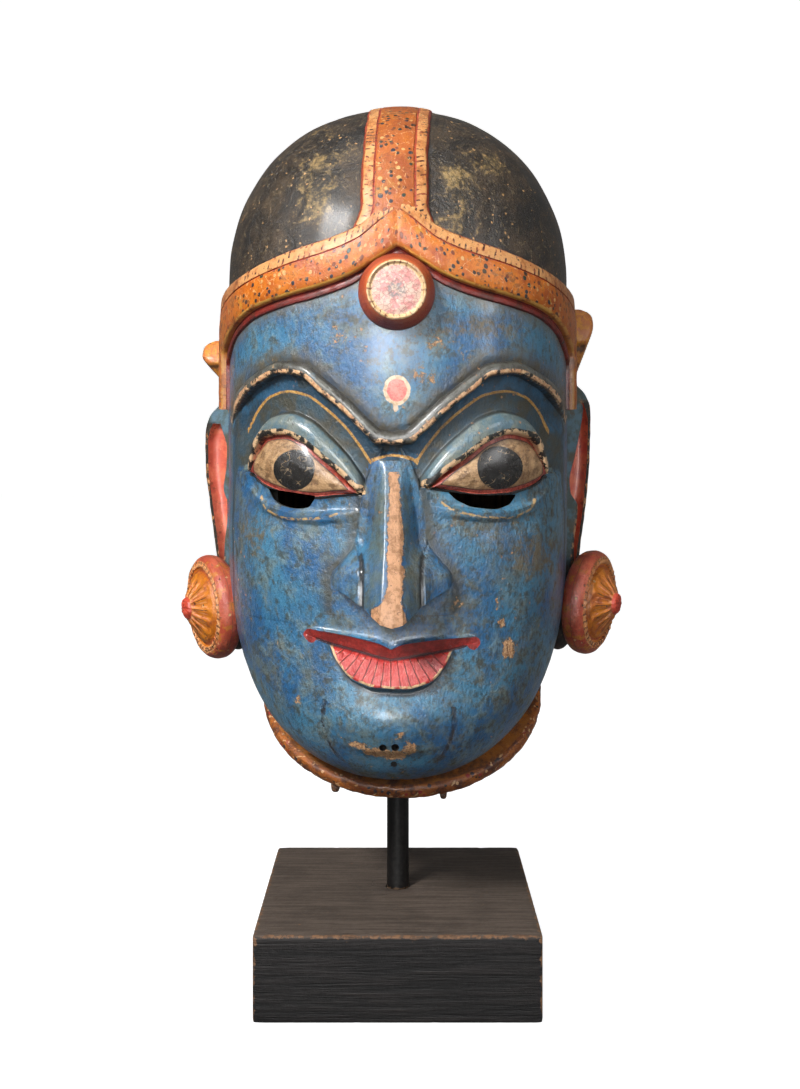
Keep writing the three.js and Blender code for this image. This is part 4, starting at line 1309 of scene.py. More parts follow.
    # Nose: greyer flanks, an incised arc round each wing and a strip worn to the wood.
    wing = s.field("wing")
    ridge = s.field("ridge")
    flank = s.step(ridge, -14.0, -6.0) * (1.0 - s.step(ridge, -3.0, 0.0))
    base = s.mix(base, colour(84, 96, 88), flank * s.fade(middle, 0.35, 0.6, 0.25, 0.8))
    ragged = ridge + edge * 3.0 + (middle - 0.5) * 3.4
    bare = s.step(ragged, -0.1, 0.1)
    bare_tone = s.mix(
        colour(196, 146, 106), colour(152, 106, 68), s.step(s.noise(4.0, 4.0, 0.7), 0.42, 0.62)
    )
    bare_tone = s.mix(bare_tone, colour(94, 62, 44), s.step(s.noise(1.8, 4.0, 0.75), 0.6, 0.68))
    bare_edge = s.step(ragged, -0.7, -0.4) * (1.0 - bare)
    base = s.mix(base, colour(64, 56, 46), bare_edge * 0.7)

    # Grime lies in patches. Painted shade lies under the nose, the lower lip and the chin, beside the nose, along the
    # face's sides and where the nose meets the cheek. A painted shadow lies under the hair band.
    grime = s.field("grime")
    dirt_and_shade = s.step(
        grime + (middle - 0.5) * 3.0 + (small - 0.5) * 2.2 + (tiny - 0.5) * 0.8, 0.05, 1.25
    )
    grime_shade_tone = s.mix(
        colour(106, 98, 76), colour(62, 58, 44), s.step(brushed + small * 0.4, 0.58, 0.82)
    )
    base = s.mix(
        base, grime_shade_tone, dirt_and_shade * s.fade(small, 0.3, 0.65, 0.35, 0.85) * (1.0 - in_socket * 0.6)
    )
    # Painted shade along the line where the nose meets the cheek.
    nose_edge = s.field("nose_edge")
    beside = s.step(nose_edge + (middle - 0.5) * 4.0, -2.6, -0.6) * (
        1.0 - s.step(nose_edge + (middle - 0.5) * 7.0, 0.6, 6.0)
    )
    base = s.mix(base, colour(58, 56, 46), beside * 0.75)
    base = s.mix(base, colour(26, 25, 23), (1.0 - s.step(wing, 0.7, 1.7)) * 0.95)
    brown = s.step(s.field("brown") + (middle - 0.5) * 3.0 + (small - 0.5) * 2.4, 0.3, 1.2)
    base = s.mix(base, colour(120, 98, 64), brown * 0.5)
    below = s.field("below_band")
    shadow = 1.0 - s.step(below + (middle - 0.5) * 14.0, 3.0, 13.0)
    base = s.mix(base, colour(104, 94, 76), shadow * s.fade(small, 0.3, 0.65, 0.5, 0.9))
    speck = s.step(s.noise(3.4, 6.0, 0.78), 0.60, 0.64)
    base = s.mix(base, colour(52, 54, 44), speck * 0.75)

    # Chips down to the ground coat and the wood.
    worn = s.field("worn")
    chips = s.step(worn + (small - 0.5) * 1.5 + (middle - 0.5) * 1.5, 0.52, 0.58)
    loose = s.cells(5.5)
    stray = s.step(s.noise(60.0, 2.0, 0.5) + small * 0.3, 0.66, 0.78) * (
        1.0 - s.step(loose + (tiny - 0.5) * 0.4, 0.1, 0.13)
    )
    chips = chips.most(stray * 0.85)
    halo = s.step(worn + (small - 0.5) * 1.5 + (middle - 0.5) * 1.5, 0.38, 0.5)
    base = s.mix(base, colour(118, 104, 74), halo * 0.4)
    base = s.mix(base, s.mix(worn_wood(s), CREAM, s.step(tiny, 0.46, 0.6) * 0.6), chips)
    base = s.mix(base, bare_tone, bare)

    # Cracks round the chin.
    crack = s.field("crack")
    split = (1.0 - s.step(crack + edge * 3.0 + (middle - 0.5) * 3.0, 0.4, 1.4)) * s.fade(
        middle, 0.35, 0.5, 0.3, 1.0
    )
    base = s.mix(base, colour(40, 32, 25), split * 0.95)

    # Eyes: from the outside in, black, red, a thin dark line and the aged white.
    eye = s.field("eye")
    jitter = (small - 0.5) * 0.5
    upper = s.step(lid, 0.25, 0.45) * (1.0 - s.step(lid, 1.05, 1.1))
    kohl = s.step(eye + jitter * 2.4 + upper * 1.9, -1.5, -1.15) * (1.0 - s.step(eye, 0.3, 0.6))
    kohl_wear = s.step(s.noise(5.0, 4.0, 0.65), 0.47, 0.53) * upper
    base = s.mix(base, s.mix(SOOT, CREAM, kohl_wear * 0.9), kohl)
    red_line = s.mix(colour(138, 46, 36), colour(186, 84, 64), s.step(small, 0.42, 0.6))
    base = s.mix(base, red_line, s.step(eye + jitter, 0.15, 0.4))
    base = s.mix(base, colour(58, 36, 28), s.step(eye + jitter, 2.0, 2.25))
    white = s.mix(colour(164, 126, 86), colour(196, 158, 114), s.step(middle, 0.4, 0.62))
    stain = s.step(s.noise(6.0, 6.0, 0.74, s.stretched(0.7, 1.0, 1.3)), 0.46, 0.6)
    white = s.mix(white, colour(112, 80, 50), stain * 0.85)
    white = s.mix(white, colour(84, 58, 38), s.step(s.noise(2.2, 4.0, 0.7), 0.6, 0.7) * 0.8)
    white = s.mix(
        white, colour(140, 100, 64), (1.0 - s.step(eye + (middle - 0.5) * 4.0, 2.4, 4.2)) * 0.7
    )
    base = s.mix(base, white, s.step(eye + jitter, 2.4, 2.8))
    pupil = s.field("pupil")
    black = s.mix(colour(22, 19, 17), colour(34, 31, 28), s.step(small, 0.4, 0.7))
    scuff = (1.0 - s.step(s.cells(4.2, kind="DISTANCE_TO_EDGE", at=s.stretched(1.0, 1.0, 1.6)), 0.012, 0.035)) * s.step(
        s.noise(4.5, 3.0, 0.6), 0.54, 0.6)
    black = s.mix(black, colour(186, 158, 122), scuff * 0.85)
    in_pupil = s.step(pupil + (small - 0.5) * 0.35, -0.1, 0.12) * s.step(eye, 1.6, 2.0)
    base = s.mix(base, black, in_pupil)

    # Broken gold line under the eyes.
    lash = s.field("lash")
    dashes = s.step(s.noise(3.0, 2.0, 0.5), 0.42, 0.5)
    lash_line_share = (1.0 - s.step(lash + edge * 0.9, 0.35, 0.8)) * dashes
    base = s.mix(base, colour(196, 158, 98), lash_line_share * 0.9)

    # Lips.
    upper_lip, lower_lip = s.field("upper_lip"), s.field("lower_lip")
    on_upper = s.step(upper_lip + (small - 0.5) * 0.35, -0.15, 0.15)
    red = s.mix(colour(136, 38, 32), colour(178, 54, 46), s.step(s.noise(4.0, 4.0, 0.6), 0.4, 0.64))
    red = s.mix(red, colour(94, 30, 26), s.step(small, 0.56, 0.7) * 0.8)
    base = s.mix(base, red, on_upper)
    on_lower = s.step(lower_lip + (small - 0.5) * 0.4, -0.05, 0.2)
    fan = s.field("fan")
    rosy = s.mix(
        colour(178, 38, 34), colour(196, 56, 48), s.step(s.noise(5.0, 4.0, 0.6), 0.4, 0.62)
    )
    stroke = abs((fan / 7.4 + (middle - 0.5) * 0.25 + 0.5).fraction() - 0.5) * 2.0
    dark_stroke = (1.0 - s.step(stroke, 0.04, 0.16)) * s.fade(small, 0.35, 0.5, 0.2, 0.9)
    rosy = s.mix(rosy, colour(92, 30, 26), dark_stroke)
    pale_stroke = (1.0 - s.step(abs(stroke - 0.24), 0.02, 0.08)) * s.step(
        s.noise(3.0, 2.0, 0.5), 0.55, 0.62
    )
    rosy = s.mix(rosy, colour(232, 158, 132), pale_stroke * 0.7)
    rosy = s.mix(
        rosy, CREAM,
        (1.0 - s.step(s.field("lip_edge") + edge * 1.5, 1.1, 1.6)) * s.step(
            s.noise(8.0, 2.0, 0.5), 0.36, 0.46
        )
    )
    base = s.mix(base, rosy, on_lower)
    # A dark line along the lips' parting: painted shade in the crease between them.
    parting_shade = 1.0 - s.step(s.field("parting_shade") + (small - 0.5) * 0.5, 0.35, 0.95)
    base = s.mix(base, colour(52, 20, 18), parting_shade * 0.85)
    # Painted shadow: a dark blue band just under the lower lip's ledge.
    ledge = s.field("ledge")
    under_lip_shadow = (1.0 - s.step(ledge, 3.4, 5.6)) * s.step(ledge, 0.0, 0.2) * (1.0 - on_lower)
    base = s.mix(base, colour(24, 40, 52), under_lip_shadow * 0.92)

    # Forehead mark.
    tilak = s.field("tilak")
    drip = s.field("drip")
    cream_mark = (1.0 - s.step(tilak + edge * 1.1, 6.7, 7.1)).most(
        s.step(drip + edge * 1.2, 0.2, 0.4) * 0.9
    )
    base = s.mix(
        base, s.mix(colour(226, 200, 168), colour(200, 160, 120), s.step(small, 0.45, 0.6)),
        cream_mark
    )
    pink = s.mix(colour(214, 94, 84), colour(228, 140, 124), s.step(small, 0.42, 0.6))
    base = s.mix(base, pink, 1.0 - s.step(tilak + edge * 0.8, 5.0, 5.4))

    # Varnish: glossy where it is whole, dull on dirt, on painted shade and on bare wood.
    dull = dirt_and_shade.most(chips).most(bare).most(in_socket * 0.5)
    rough = s.fade(middle, 0.3, 0.7, 0.30, 0.44) + dull * 0.25 - in_pupil * 0.1
    strokes = s.noise(1.6, 3.0, 0.6, s.stretched(1.0, 1.0, 0.5), 0.5)
    relief = (chips + bare) * -0.3 + small * 0.6 + middle * 0.9
    return s.finish(base, rough, [
        (relief, 0.9), (strokes * 0.75, 0.85), (dark_stroke * on_lower * -0.5 + split * -0.4, 1.0),
    ], coat=s.fade(dull.most(on_lower), 0.0, 1.0, 0.7, 0.12), coat_rough=0.27)


def dome_paint():
    """Blackened hair, worn through to olive gold in two patches at the front."""
    s = Shader("blackened dome")
    middle = s.noise(12.0, 6.0, 0.7, twist=0.8)
    small = s.noise(2.4, 6.0, 0.72)
    tiny = s.noise(0.9, 3.0, 0.6)
    base = s.mix(colour(32, 25, 18), colour(66, 52, 36), s.step(middle, 0.4, 0.64))
    base = s.mix(base, colour(104, 90, 66), s.step(small, 0.54, 0.68) * 0.7)
    base = s.mix(base, colour(22, 19, 16), s.step(s.noise(26.0, 5.0, 0.65), 0.52, 0.64) * 0.85)
    patch = s.field("gold_patch")
    olive = s.step(patch + (middle - 0.5) * 3.4 + (small - 0.5) * 1.6, 0.35, 1.1)
    base = s.mix(
        base,
        s.mix(colour(104, 88, 54), colour(168, 138, 84), s.step(small + middle * 0.5, 0.68, 0.9)),
        olive * 0.7
    )
    flecks = s.cells(4.6)
    fleck_on = (1.0 - s.step(flecks + (tiny - 0.5) * 0.5, 0.10, 0.15)) * s.step(
        s.noise(20.0, 3.0, 0.6), 0.44, 0.56
    )
    base = s.mix(base, colour(196, 152, 98), fleck_on * 0.9)
    chips = s.step(s.noise(9.0, 7.0, 0.75), 0.675, 0.69)
    base = s.mix(base, colour(190, 138, 84), chips)
    lines = s.cells(5.0, s.stretched(1.0, 1.0, 0.4), kind="DISTANCE_TO_EDGE")
    base = s.mix(
        base, colour(150, 128, 92),
        (1.0 - s.step(lines, 0.01, 0.03)) * s.step(small, 0.5, 0.58) * 0.5
    )
    rough = s.fade(middle, 0.3, 0.7, 0.36, 0.52)
    return s.finish(base, rough, [
        (middle * 1.3, 0.9), (small * 0.8, 0.85), (s.noise(1.2, 3.0, 0.6) * 0.25, 0.7),
    ], coat=0.3, coat_rough=0.3)


def spotted(s, at_u, at_v, pitch, radius, base, tones):
    """Rows of small painted dots on a band, each one of several tones."""
    at = s.node("ShaderNodeCombineXYZ", None, {0: at_u / pitch, 1: at_v / pitch, 2: 0.0})
    distance = s.node(
        "ShaderNodeTexVoronoi", None, {"Vector": at, "Scale": 1.0, "Randomness": 0.75}
    )
    pick = s.node("ShaderNodeTexVoronoi", None, {"Vector": at, "Scale": 1.0, "Randomness": 0.75}, 1)
    parts = s.tree.nodes.new("ShaderNodeSeparateColor")
    s.feed(parts.inputs[0], pick)
    chance, size = Value(s, parts.outputs[0]), Value(s, parts.outputs[1])
    tone = tones[0]
    for i, other in enumerate(tones[1:]):
        edge = (i + 1) / len(tones)
        tone = s.mix(tone, other, s.step(chance, edge - 0.01, edge + 0.01))
    reach = radius / pitch
    wobble = (s.noise(1.1, 2.0, 0.5) - 0.5) * 0.22
    on = 1.0 - s.step(distance + wobble - size * reach * 0.5, reach * 0.55, reach * 0.8)
    return s.mix(base, tone, on), on


def band_paint(name, is_strap):
    """Ochre band with painted dots, cream dashed edges and red outlines."""
    s = Shader(name)
    u, v, _ = s.laid()
    middle = s.noise(9.0, 5.0, 0.65)
    small = s.noise(2.0, 5.0, 0.7)
    tiny = s.noise(0.8, 3.0, 0.6)
    field = s.mix(colour(184, 92, 10), colour(206, 116, 20), s.step(middle, 0.38, 0.64))
    field = s.mix(field, colour(160, 68, 16), s.step(s.noise(14.0, 4.0, 0.65), 0.50, 0.64) * 0.75)
    field = s.mix(field, colour(196, 150, 44), s.step(s.noise(10.0, 4.0, 0.6), 0.58, 0.68) * 0.6)
    if is_strap:
        across_mm = v * STRAP_HALF
        field = s.mix(
            field, colour(140, 70, 30), s.fade(s.noise(22.0, 4.0, 0.6), 0.4, 0.6, 0.35, 0.75)
        )
        from_edge = (1.0 - abs(v)) * STRAP_HALF
        strip = s.step(from_edge, 1.0, 1.3) * (1.0 - s.step(from_edge, 6.2, 6.6))
        outline = (1.0 - s.step(from_edge + (small - 0.5) * 0.8, 0.9, 1.5)).most(
            1.0 - s.step(abs(from_edge - 6.7), 0.35, 0.7))
        dash_at = (u / 2.9 + from_edge / 9.0 + (middle - 0.5) * 0.5).fraction()
    else:
        across_mm = v * 22.0
        from_edge = v * 22.0
        strip = s.step(v, 0.03, 0.045) * (1.0 - s.step(v, 0.30, 0.315))
        outline = (1.0 - s.step(v + (small - 0.5) * 0.03, 0.035, 0.055)).most(
            1.0 - s.step(abs(v - 0.322), 0.012, 0.024)
        )
        dash_at = (u / 3.3 + v * 1.4 + (middle - 0.5) * 0.5).fraction()
    spotted_field, dots = spotted(s, u, across_mm, 3.1, 1.15, field, [
        colour(34, 34, 46), colour(34, 50, 38), colour(206, 158, 96), colour(48, 34, 26),
        colour(120, 56, 24),
        colour(38, 40, 44),
    ])
    streak = s.cells(7.0, kind="DISTANCE_TO_EDGE")
    spotted_field = s.mix(spotted_field, colour(222, 176, 120),
                          (1.0 - s.step(streak, 0.01, 0.035)) * s.step(small, 0.5, 0.56) * 0.7)
    cream = s.mix(colour(208, 150, 92), colour(186, 112, 54), s.step(middle, 0.44, 0.62))
    dash = (1.0 - s.step(abs(dash_at - 0.5), 0.13, 0.2)) * s.step(s.noise(3.0, 3.0, 0.6), 0.5, 0.56)
    cream = s.mix(
        cream, s.mix(colour(52, 34, 26), colour(148, 60, 34), s.step(small, 0.46, 0.56)), dash
    )
    base = s.mix(spotted_field, cream, strip)
    line = s.mix(colour(170, 66, 42), colour(120, 44, 30), s.step(small, 0.44, 0.62))
    base = s.mix(base, line, outline * s.fade(middle, 0.34, 0.5, 0.5, 1.0))
    if not is_strap:
        pale_edge = s.step(v + (small - 0.5) * 0.05, 0.93, 0.96) * (1.0 - s.step(v, 0.995, 1.005))
        base = s.mix(
            base, s.mix(colour(214, 158, 70), colour(176, 104, 44), s.step(middle, 0.5, 0.6)),
            pale_edge
        )
        lip = s.step(v, 0.998, 1.008)
        deep = s.mix(colour(118, 36, 28), colour(84, 26, 20), s.step(middle, 0.42, 0.6))
        deep = s.mix(deep, colour(156, 60, 46), s.step(small, 0.58, 0.68) * 0.6)
        base = s.mix(base, deep, lip)
        side_worn = s.step(abs(u) + (middle - 0.5) * 40.0, 92.0, 118.0) * (1.0 - lip)
        base = s.mix(base, colour(150, 84, 46), side_worn * 0.5)
    grime = s.step(middle + small * 0.6, 0.86, 1.0)
    base = s.mix(base, colour(96, 62, 34), grime * 0.6)
    holes = s.cells(13.0)
    hole_on = 1.0 - s.step(holes + (tiny - 0.5) * 0.1, 0.055, 0.085)
    base = s.mix(base, colour(24, 18, 14), hole_on)
    pits = s.step(s.noise(1.6, 4.0, 0.7), 0.66, 0.70)
    base = s.mix(base, colour(70, 44, 28), pits * 0.7)
    relief = dots * 0.12 - dash * strip * 0.25 - hole_on * 0.8 - outline * 0.15
    return s.finish(base, s.fade(middle, 0.3, 0.7, 0.34, 0.5), [
        (relief + middle * 0.5, 0.8), (small * 0.5, 0.8),
    ], coat=0.14, coat_rough=0.3)


def medallion_paint():
    s = Shader("forehead medallion")
    u, r, _ = s.laid()
    middle = s.noise(6.0, 5.0, 0.7)
    small = s.noise(1.8, 5.0, 0.7)
    cone = s.mix(colour(160, 66, 38), colour(206, 104, 58), s.step(r + middle * 3.0, 18.6, 16.0))
    cone = s.mix(cone, colour(112, 38, 26), s.step(r, 18.2, 19.0) * 0.7)
    cone = s.mix(cone, colour(206, 140, 84), s.step(small, 0.62, 0.68) * 0.7)
    disc = s.mix(
        colour(212, 178, 160), colour(206, 134, 128), s.step(s.noise(5.0, 5.0, 0.7), 0.46, 0.56)
    )
    disc = s.mix(disc, colour(228, 206, 180), s.step(small, 0.5, 0.62) * 0.6)
    crackle = s.cells(2.6, kind="DISTANCE_TO_EDGE")
    disc = s.mix(disc, colour(150, 96, 88), (1.0 - s.step(crackle, 0.02, 0.07)) * 0.6)
    centre = 1.0 - s.step(r + (small - 0.5) * 3.0, 3.6, 5.4)
    disc = s.mix(
        disc, colour(132, 124, 122), centre * s.fade(s.noise(1.5, 3.0, 0.6), 0.42, 0.56, 0.0, 0.9)
    )
    base = s.mix(disc, cone, s.step(r, 14.4, 14.8))
    rim = s.step(r, 11.9, 12.3) * (1.0 - s.step(r, 14.5, 14.9))
    notch = abs((u * 26.0 + (middle - 0.5) * 2.2).fraction() - 0.5)
    rim_tone = s.mix(
        colour(220, 184, 132), colour(132, 76, 46),
        s.step(notch + (small - 0.5) * 0.8, 0.36, 0.44) * s.step(middle, 0.44, 0.52)
    )
    base = s.mix(base, rim_tone, rim * s.fade(middle, 0.36, 0.5, 0.45, 1.0))
    base = s.mix(base, colour(70, 44, 36), s.step(s.noise(1.3, 4.0, 0.7), 0.65, 0.7) * 0.7)
    return s.finish(base, 0.42, [(small * 0.6 - centre * 0.2, 0.8), (middle * 0.5, 0.7)], coat=0.2)


def disc_paint():
    """Ear disc: red knob, petals over ochre, a groove, a cream notched ring and a coral rim."""
    s = Shader("ear disc")
    u, r, _ = s.laid()
    middle = s.noise(8.0, 5.0, 0.68)
    small = s.noise(2.0, 5.0, 0.7)
    ochre = s.mix(colour(200, 116, 16), colour(172, 84, 16), s.step(middle, 0.42, 0.62))
    turn = (u * PETALS).fraction()
    off = abs(turn - 0.5)
    width = s.fade(r, 5.0, 18.0, 0.30, 0.22)
    petal = (1.0 - s.step(off - width + (small - 0.5) * 0.1, -0.02, 0.03)) * s.step(r, 5.6, 6.4) * (
        1.0 - s.step(r + off * 9.0, 17.0, 17.6)
    )
    petal_tone = s.mix(colour(222, 164, 112), colour(206, 112, 84), s.step(small, 0.42, 0.6))
    inside = 1.0 - s.step(off - width * 0.55, -0.02, 0.03)
    petal_tone = s.mix(petal_tone, ochre, inside * s.step(r, 7.5, 8.5))
    base = s.mix(ochre, petal_tone, petal * s.fade(middle, 0.36, 0.5, 0.2, 0.8))
    spoke = (1.0 - s.step(0.5 - off, 0.02, 0.07)) * s.step(r, 6.0, 7.0) * (
        1.0 - s.step(r, 15.0, 17.0)
    )
    base = s.mix(base, colour(70, 36, 24), spoke * s.fade(small, 0.36, 0.5, 0.2, 0.9))
    base = s.mix(base, colour(190, 66, 42), 1.0 - s.step(r + (small - 0.5), 6.0, 6.5))
    ring_line = 1.0 - s.step(abs(r - 20.6 + (small - 0.5) * 0.6), 0.3, 0.8)
    base = s.mix(base, colour(168, 74, 42), ring_line * 0.8)
    ring = s.step(r, 22.0, 22.4) * (1.0 - s.step(r + (small - 0.5) * 1.2, 25.6, 26.2))
    notch = abs((u * 38.0 + (middle - 0.5) * 0.4).fraction() - 0.5)
    ring_tone = s.mix(colour(214, 150, 96), colour(196, 116, 62), s.step(middle, 0.48, 0.6))
    ring_tone = s.mix(ring_tone, colour(96, 54, 34), s.step(notch, 0.34, 0.42) * 0.85)
    base = s.mix(base, ring_tone, ring)
    coral = s.mix(colour(170, 66, 42), colour(196, 96, 66), s.step(middle, 0.42, 0.62))
    coral = s.mix(coral, colour(186, 112, 34), s.step(s.noise(7.0, 4.0, 0.7), 0.52, 0.6) * 0.85)
    coral = s.mix(coral, colour(118, 62, 40), s.step(small, 0.58, 0.66) * 0.7)
    on_rim = s.step(r + (small - 0.5) * 1.2, 25.6, 26.2)
    base = s.mix(base, coral, on_rim)
    back = s.step(r, 99.0, 100.0)
    base = s.mix(base, s.mix(coral, colour(112, 66, 44), s.step(r, 127.5, 122.0)), back)
    nicks = s.cells(6.5)
    nick_on = 1.0 - s.step(nicks + (small - 0.5) * 0.3, 0.09, 0.13)
    base = s.mix(
        base,
        s.mix(colour(214, 166, 112), colour(36, 26, 22), s.step(s.noise(5.0, 2.0, 0.5), 0.5, 0.54)),
        nick_on * 0.9
    )
    grime = s.step(middle * 0.6 + small * 0.5, 0.62, 0.72)
    base = s.mix(base, colour(104, 60, 36), grime * 0.6)
    return s.finish(base, s.fade(middle, 0.3, 0.7, 0.36, 0.5), [
        (middle * 0.5 - nick_on * 0.6 - spoke * 0.5, 0.8), (small * 0.6, 0.8),
    ], coat=0.12, coat_rough=0.3)


def ear_red_paint():
    s = Shader("ear hollow")
    middle = s.noise(9.0, 5.0, 0.65)
    small = s.noise(2.0, 5.0, 0.7)
    base = s.mix(colour(198, 88, 66), colour(220, 116, 84), s.step(middle, 0.38, 0.6))
    base = s.mix(base, colour(122, 70, 48), s.step(s.noise(7.0, 5.0, 0.7), 0.55, 0.64) * 0.75)
    base = s.mix(base, colour(224, 156, 112), s.step(small, 0.62, 0.68) * 0.8)
    return s.finish(base, 0.42, [(middle * 0.5, 0.7), (small * 0.5, 0.8)], coat=0.2)


def ear_rim_paint():
    """The ear's plate: blue grey near the head, black along the rim, worn to tan at its edge."""
    s = Shader("ear rim")
    from_edge, z, _ = s.laid()
    middle = s.noise(7.0, 5.0, 0.65)
    small = s.noise(1.8, 5.0, 0.7)
    blue = s.mix(colour(84, 112, 126), colour(70, 82, 78), s.step(middle, 0.4, 0.62))
    blue = s.mix(blue, GRIME_BROWN, s.step(s.noise(12.0, 5.0, 0.65), 0.48, 0.62) * 0.8)
    black = s.mix(colour(34, 30, 26), colour(58, 50, 40), s.step(small, 0.44, 0.62))
    tan = s.mix(colour(196, 142, 96), colour(160, 108, 66), s.step(small, 0.44, 0.6))
    black = s.mix(black, tan, s.step(s.noise(5.0, 5.0, 0.7), 0.53, 0.57))
    above = 1.0 - s.step(z + (middle - 0.5) * 4.0, 6.0, 9.0)
    base = s.mix(black, blue, s.step(from_edge + (middle - 0.5) * 3.0, 7.0, 9.5).most(above))
    return s.finish(base, 0.46, [(middle * 0.5, 0.7), (small * 0.5, 0.8)], coat=0.15)


def lobe_paint():
    s = Shader("ear lobe")
    middle = s.noise(7.0, 5.0, 0.65)
    small = s.noise(2.0, 5.0, 0.7)
    base = s.mix(colour(66, 48, 36), colour(38, 33, 26), s.step(middle, 0.42, 0.58))
    base = s.mix(base, colour(140, 104, 70), s.step(small, 0.62, 0.7) * 0.7)
    return s.finish(base, 0.5, [(middle * 0.5, 0.7), (small * 0.5, 0.8)])


def tab_paint():
    """Side tab: bright ochre above the fold, brown and red below, rubbed at its outer edge."""
    s = Shader("side tab")
    from_edge, down, _ = s.laid()
    middle = s.noise(7.0, 5.0, 0.68)
    small = s.noise(1.8, 5.0, 0.7)
    arcs = s.noise(3.4, 3.0, 0.6, s.stretched(1.0, 0.5, 0.8), 1.2)
    upper = s.mix(colour(212, 140, 44), colour(196, 112, 52), s.step(arcs, 0.42, 0.56))
    upper = s.mix(upper, colour(160, 134, 48), s.step(s.noise(9.0, 4.0, 0.6), 0.6, 0.68) * 0.5)
    lower = s.mix(colour(186, 116, 36), colour(96, 58, 28), s.step(middle, 0.44, 0.58))
    lower = s.mix(lower, colour(128, 48, 30), s.step(s.noise(8.0, 4.0, 0.6), 0.58, 0.66) * 0.8)
    base = s.mix(upper, lower, s.step(down + (small - 0.5) * 0.06, 0.31, 0.35))
    base = s.mix(
        base, colour(198, 150, 112), (1.0 - s.step(from_edge + (small - 0.5) * 2.0, 0.5, 1.3)) * 0.8
    )
    base = s.mix(base, colour(36, 28, 22), s.step(s.noise(1.8, 4.0, 0.7), 0.64, 0.68) * 0.8)
    return s.finish(base, 0.42, [(arcs * 0.5 + middle * 0.4, 0.8), (small * 0.5, 0.8)], coat=0.25)


def collar_paint():
    """Collar: blue-grey neck inside, a yellow ledge and an orange-brown face with broken marks."""
    s = Shader("collar")
    u, v, _ = s.laid()
    middle = s.noise(9.0, 5.0, 0.68)
    small = s.noise(2.0, 5.0, 0.7)
    neck = s.mix(colour(38, 50, 66), colour(48, 48, 44), s.step(middle, 0.42, 0.6))
    ledge = s.mix(colour(150, 88, 20), colour(92, 50, 16), s.step(middle, 0.42, 0.62))
    faced = s.mix(colour(124, 62, 18), colour(168, 94, 28), s.step(middle, 0.4, 0.6))
    faced = s.mix(faced, colour(74, 34, 18), s.step(s.noise(8.0, 5.0, 0.7), 0.48, 0.6) * 0.85)
    faced, _ = spotted(s, u, v, 3.6, 1.1, faced, [
        colour(50, 36, 44), colour(150, 46, 34), colour(214, 166, 116), colour(44, 28, 20),
        colour(150, 46, 34),
    ])
    streak = (u / 7.5 + v / 6.0 + (middle - 0.5) * 1.4).fraction()
    dash = (1.0 - s.step(abs(streak - 0.5), 0.08, 0.14)) * s.step(
        s.noise(6.0, 3.0, 0.6), 0.52, 0.57
    )
    faced = s.mix(faced, colour(214, 166, 116), dash * 0.85)
    base = s.mix(neck, ledge, s.step(v, 33.6, 34.6))
    base = s.mix(base, faced, s.step(v + (small - 0.5) * 1.6, 43.5, 44.5))
    base = s.mix(
        base, s.mix(colour(70, 44, 26), WOOD_DEEP, s.step(small, 0.45, 0.6)),
        s.step(v + (middle - 0.5) * 4.0, 53.5, 56.0) * 0.9
    )
    base = s.mix(base, colour(26, 18, 14), s.step(s.noise(1.9, 5.0, 0.75), 0.63, 0.67) * 0.85)
    return s.finish(base, 0.48, [(middle * 0.6 - dash * 0.3, 0.8), (small * 0.7, 0.9)], coat=0.15)


def bare_inside():
    """The hollow's raw wood: brown with long grain, gouge marks and dust."""
    s = Shader("bare wood inside")
    grain = s.noise(3.2, 6.0, 0.66, s.stretched(1.0, 1.0, 0.08))
    middle = s.noise(16.0, 5.0, 0.6)
    base = s.mix(colour(92, 66, 44), colour(134, 100, 68), s.step(grain, 0.36, 0.64))
    base = s.mix(base, colour(60, 44, 32), s.step(middle, 0.5, 0.68) * 0.7)
    base = s.mix(base, colour(154, 128, 98), s.step(s.noise(5.0, 5.0, 0.7), 0.6, 0.7) * 0.5)
    return s.finish(
        base, 0.78, [(grain * 0.5 + middle * 1.0, 0.9), (s.noise(1.2, 4.0, 0.6) * 0.4, 0.8)]
    )


# Walls of the see-slits and nail holes, near black: painted shade inside the holes.
def hole_shade():
    s = Shader("hole shade")
    base = s.mix(colour(26, 20, 16), colour(46, 36, 28), s.step(s.noise(2.0, 3.0, 0.6), 0.4, 0.6))
    return s.finish(base, 0.9, [(s.noise(1.0, 3.0, 0.6) * 0.3, 0.6)])


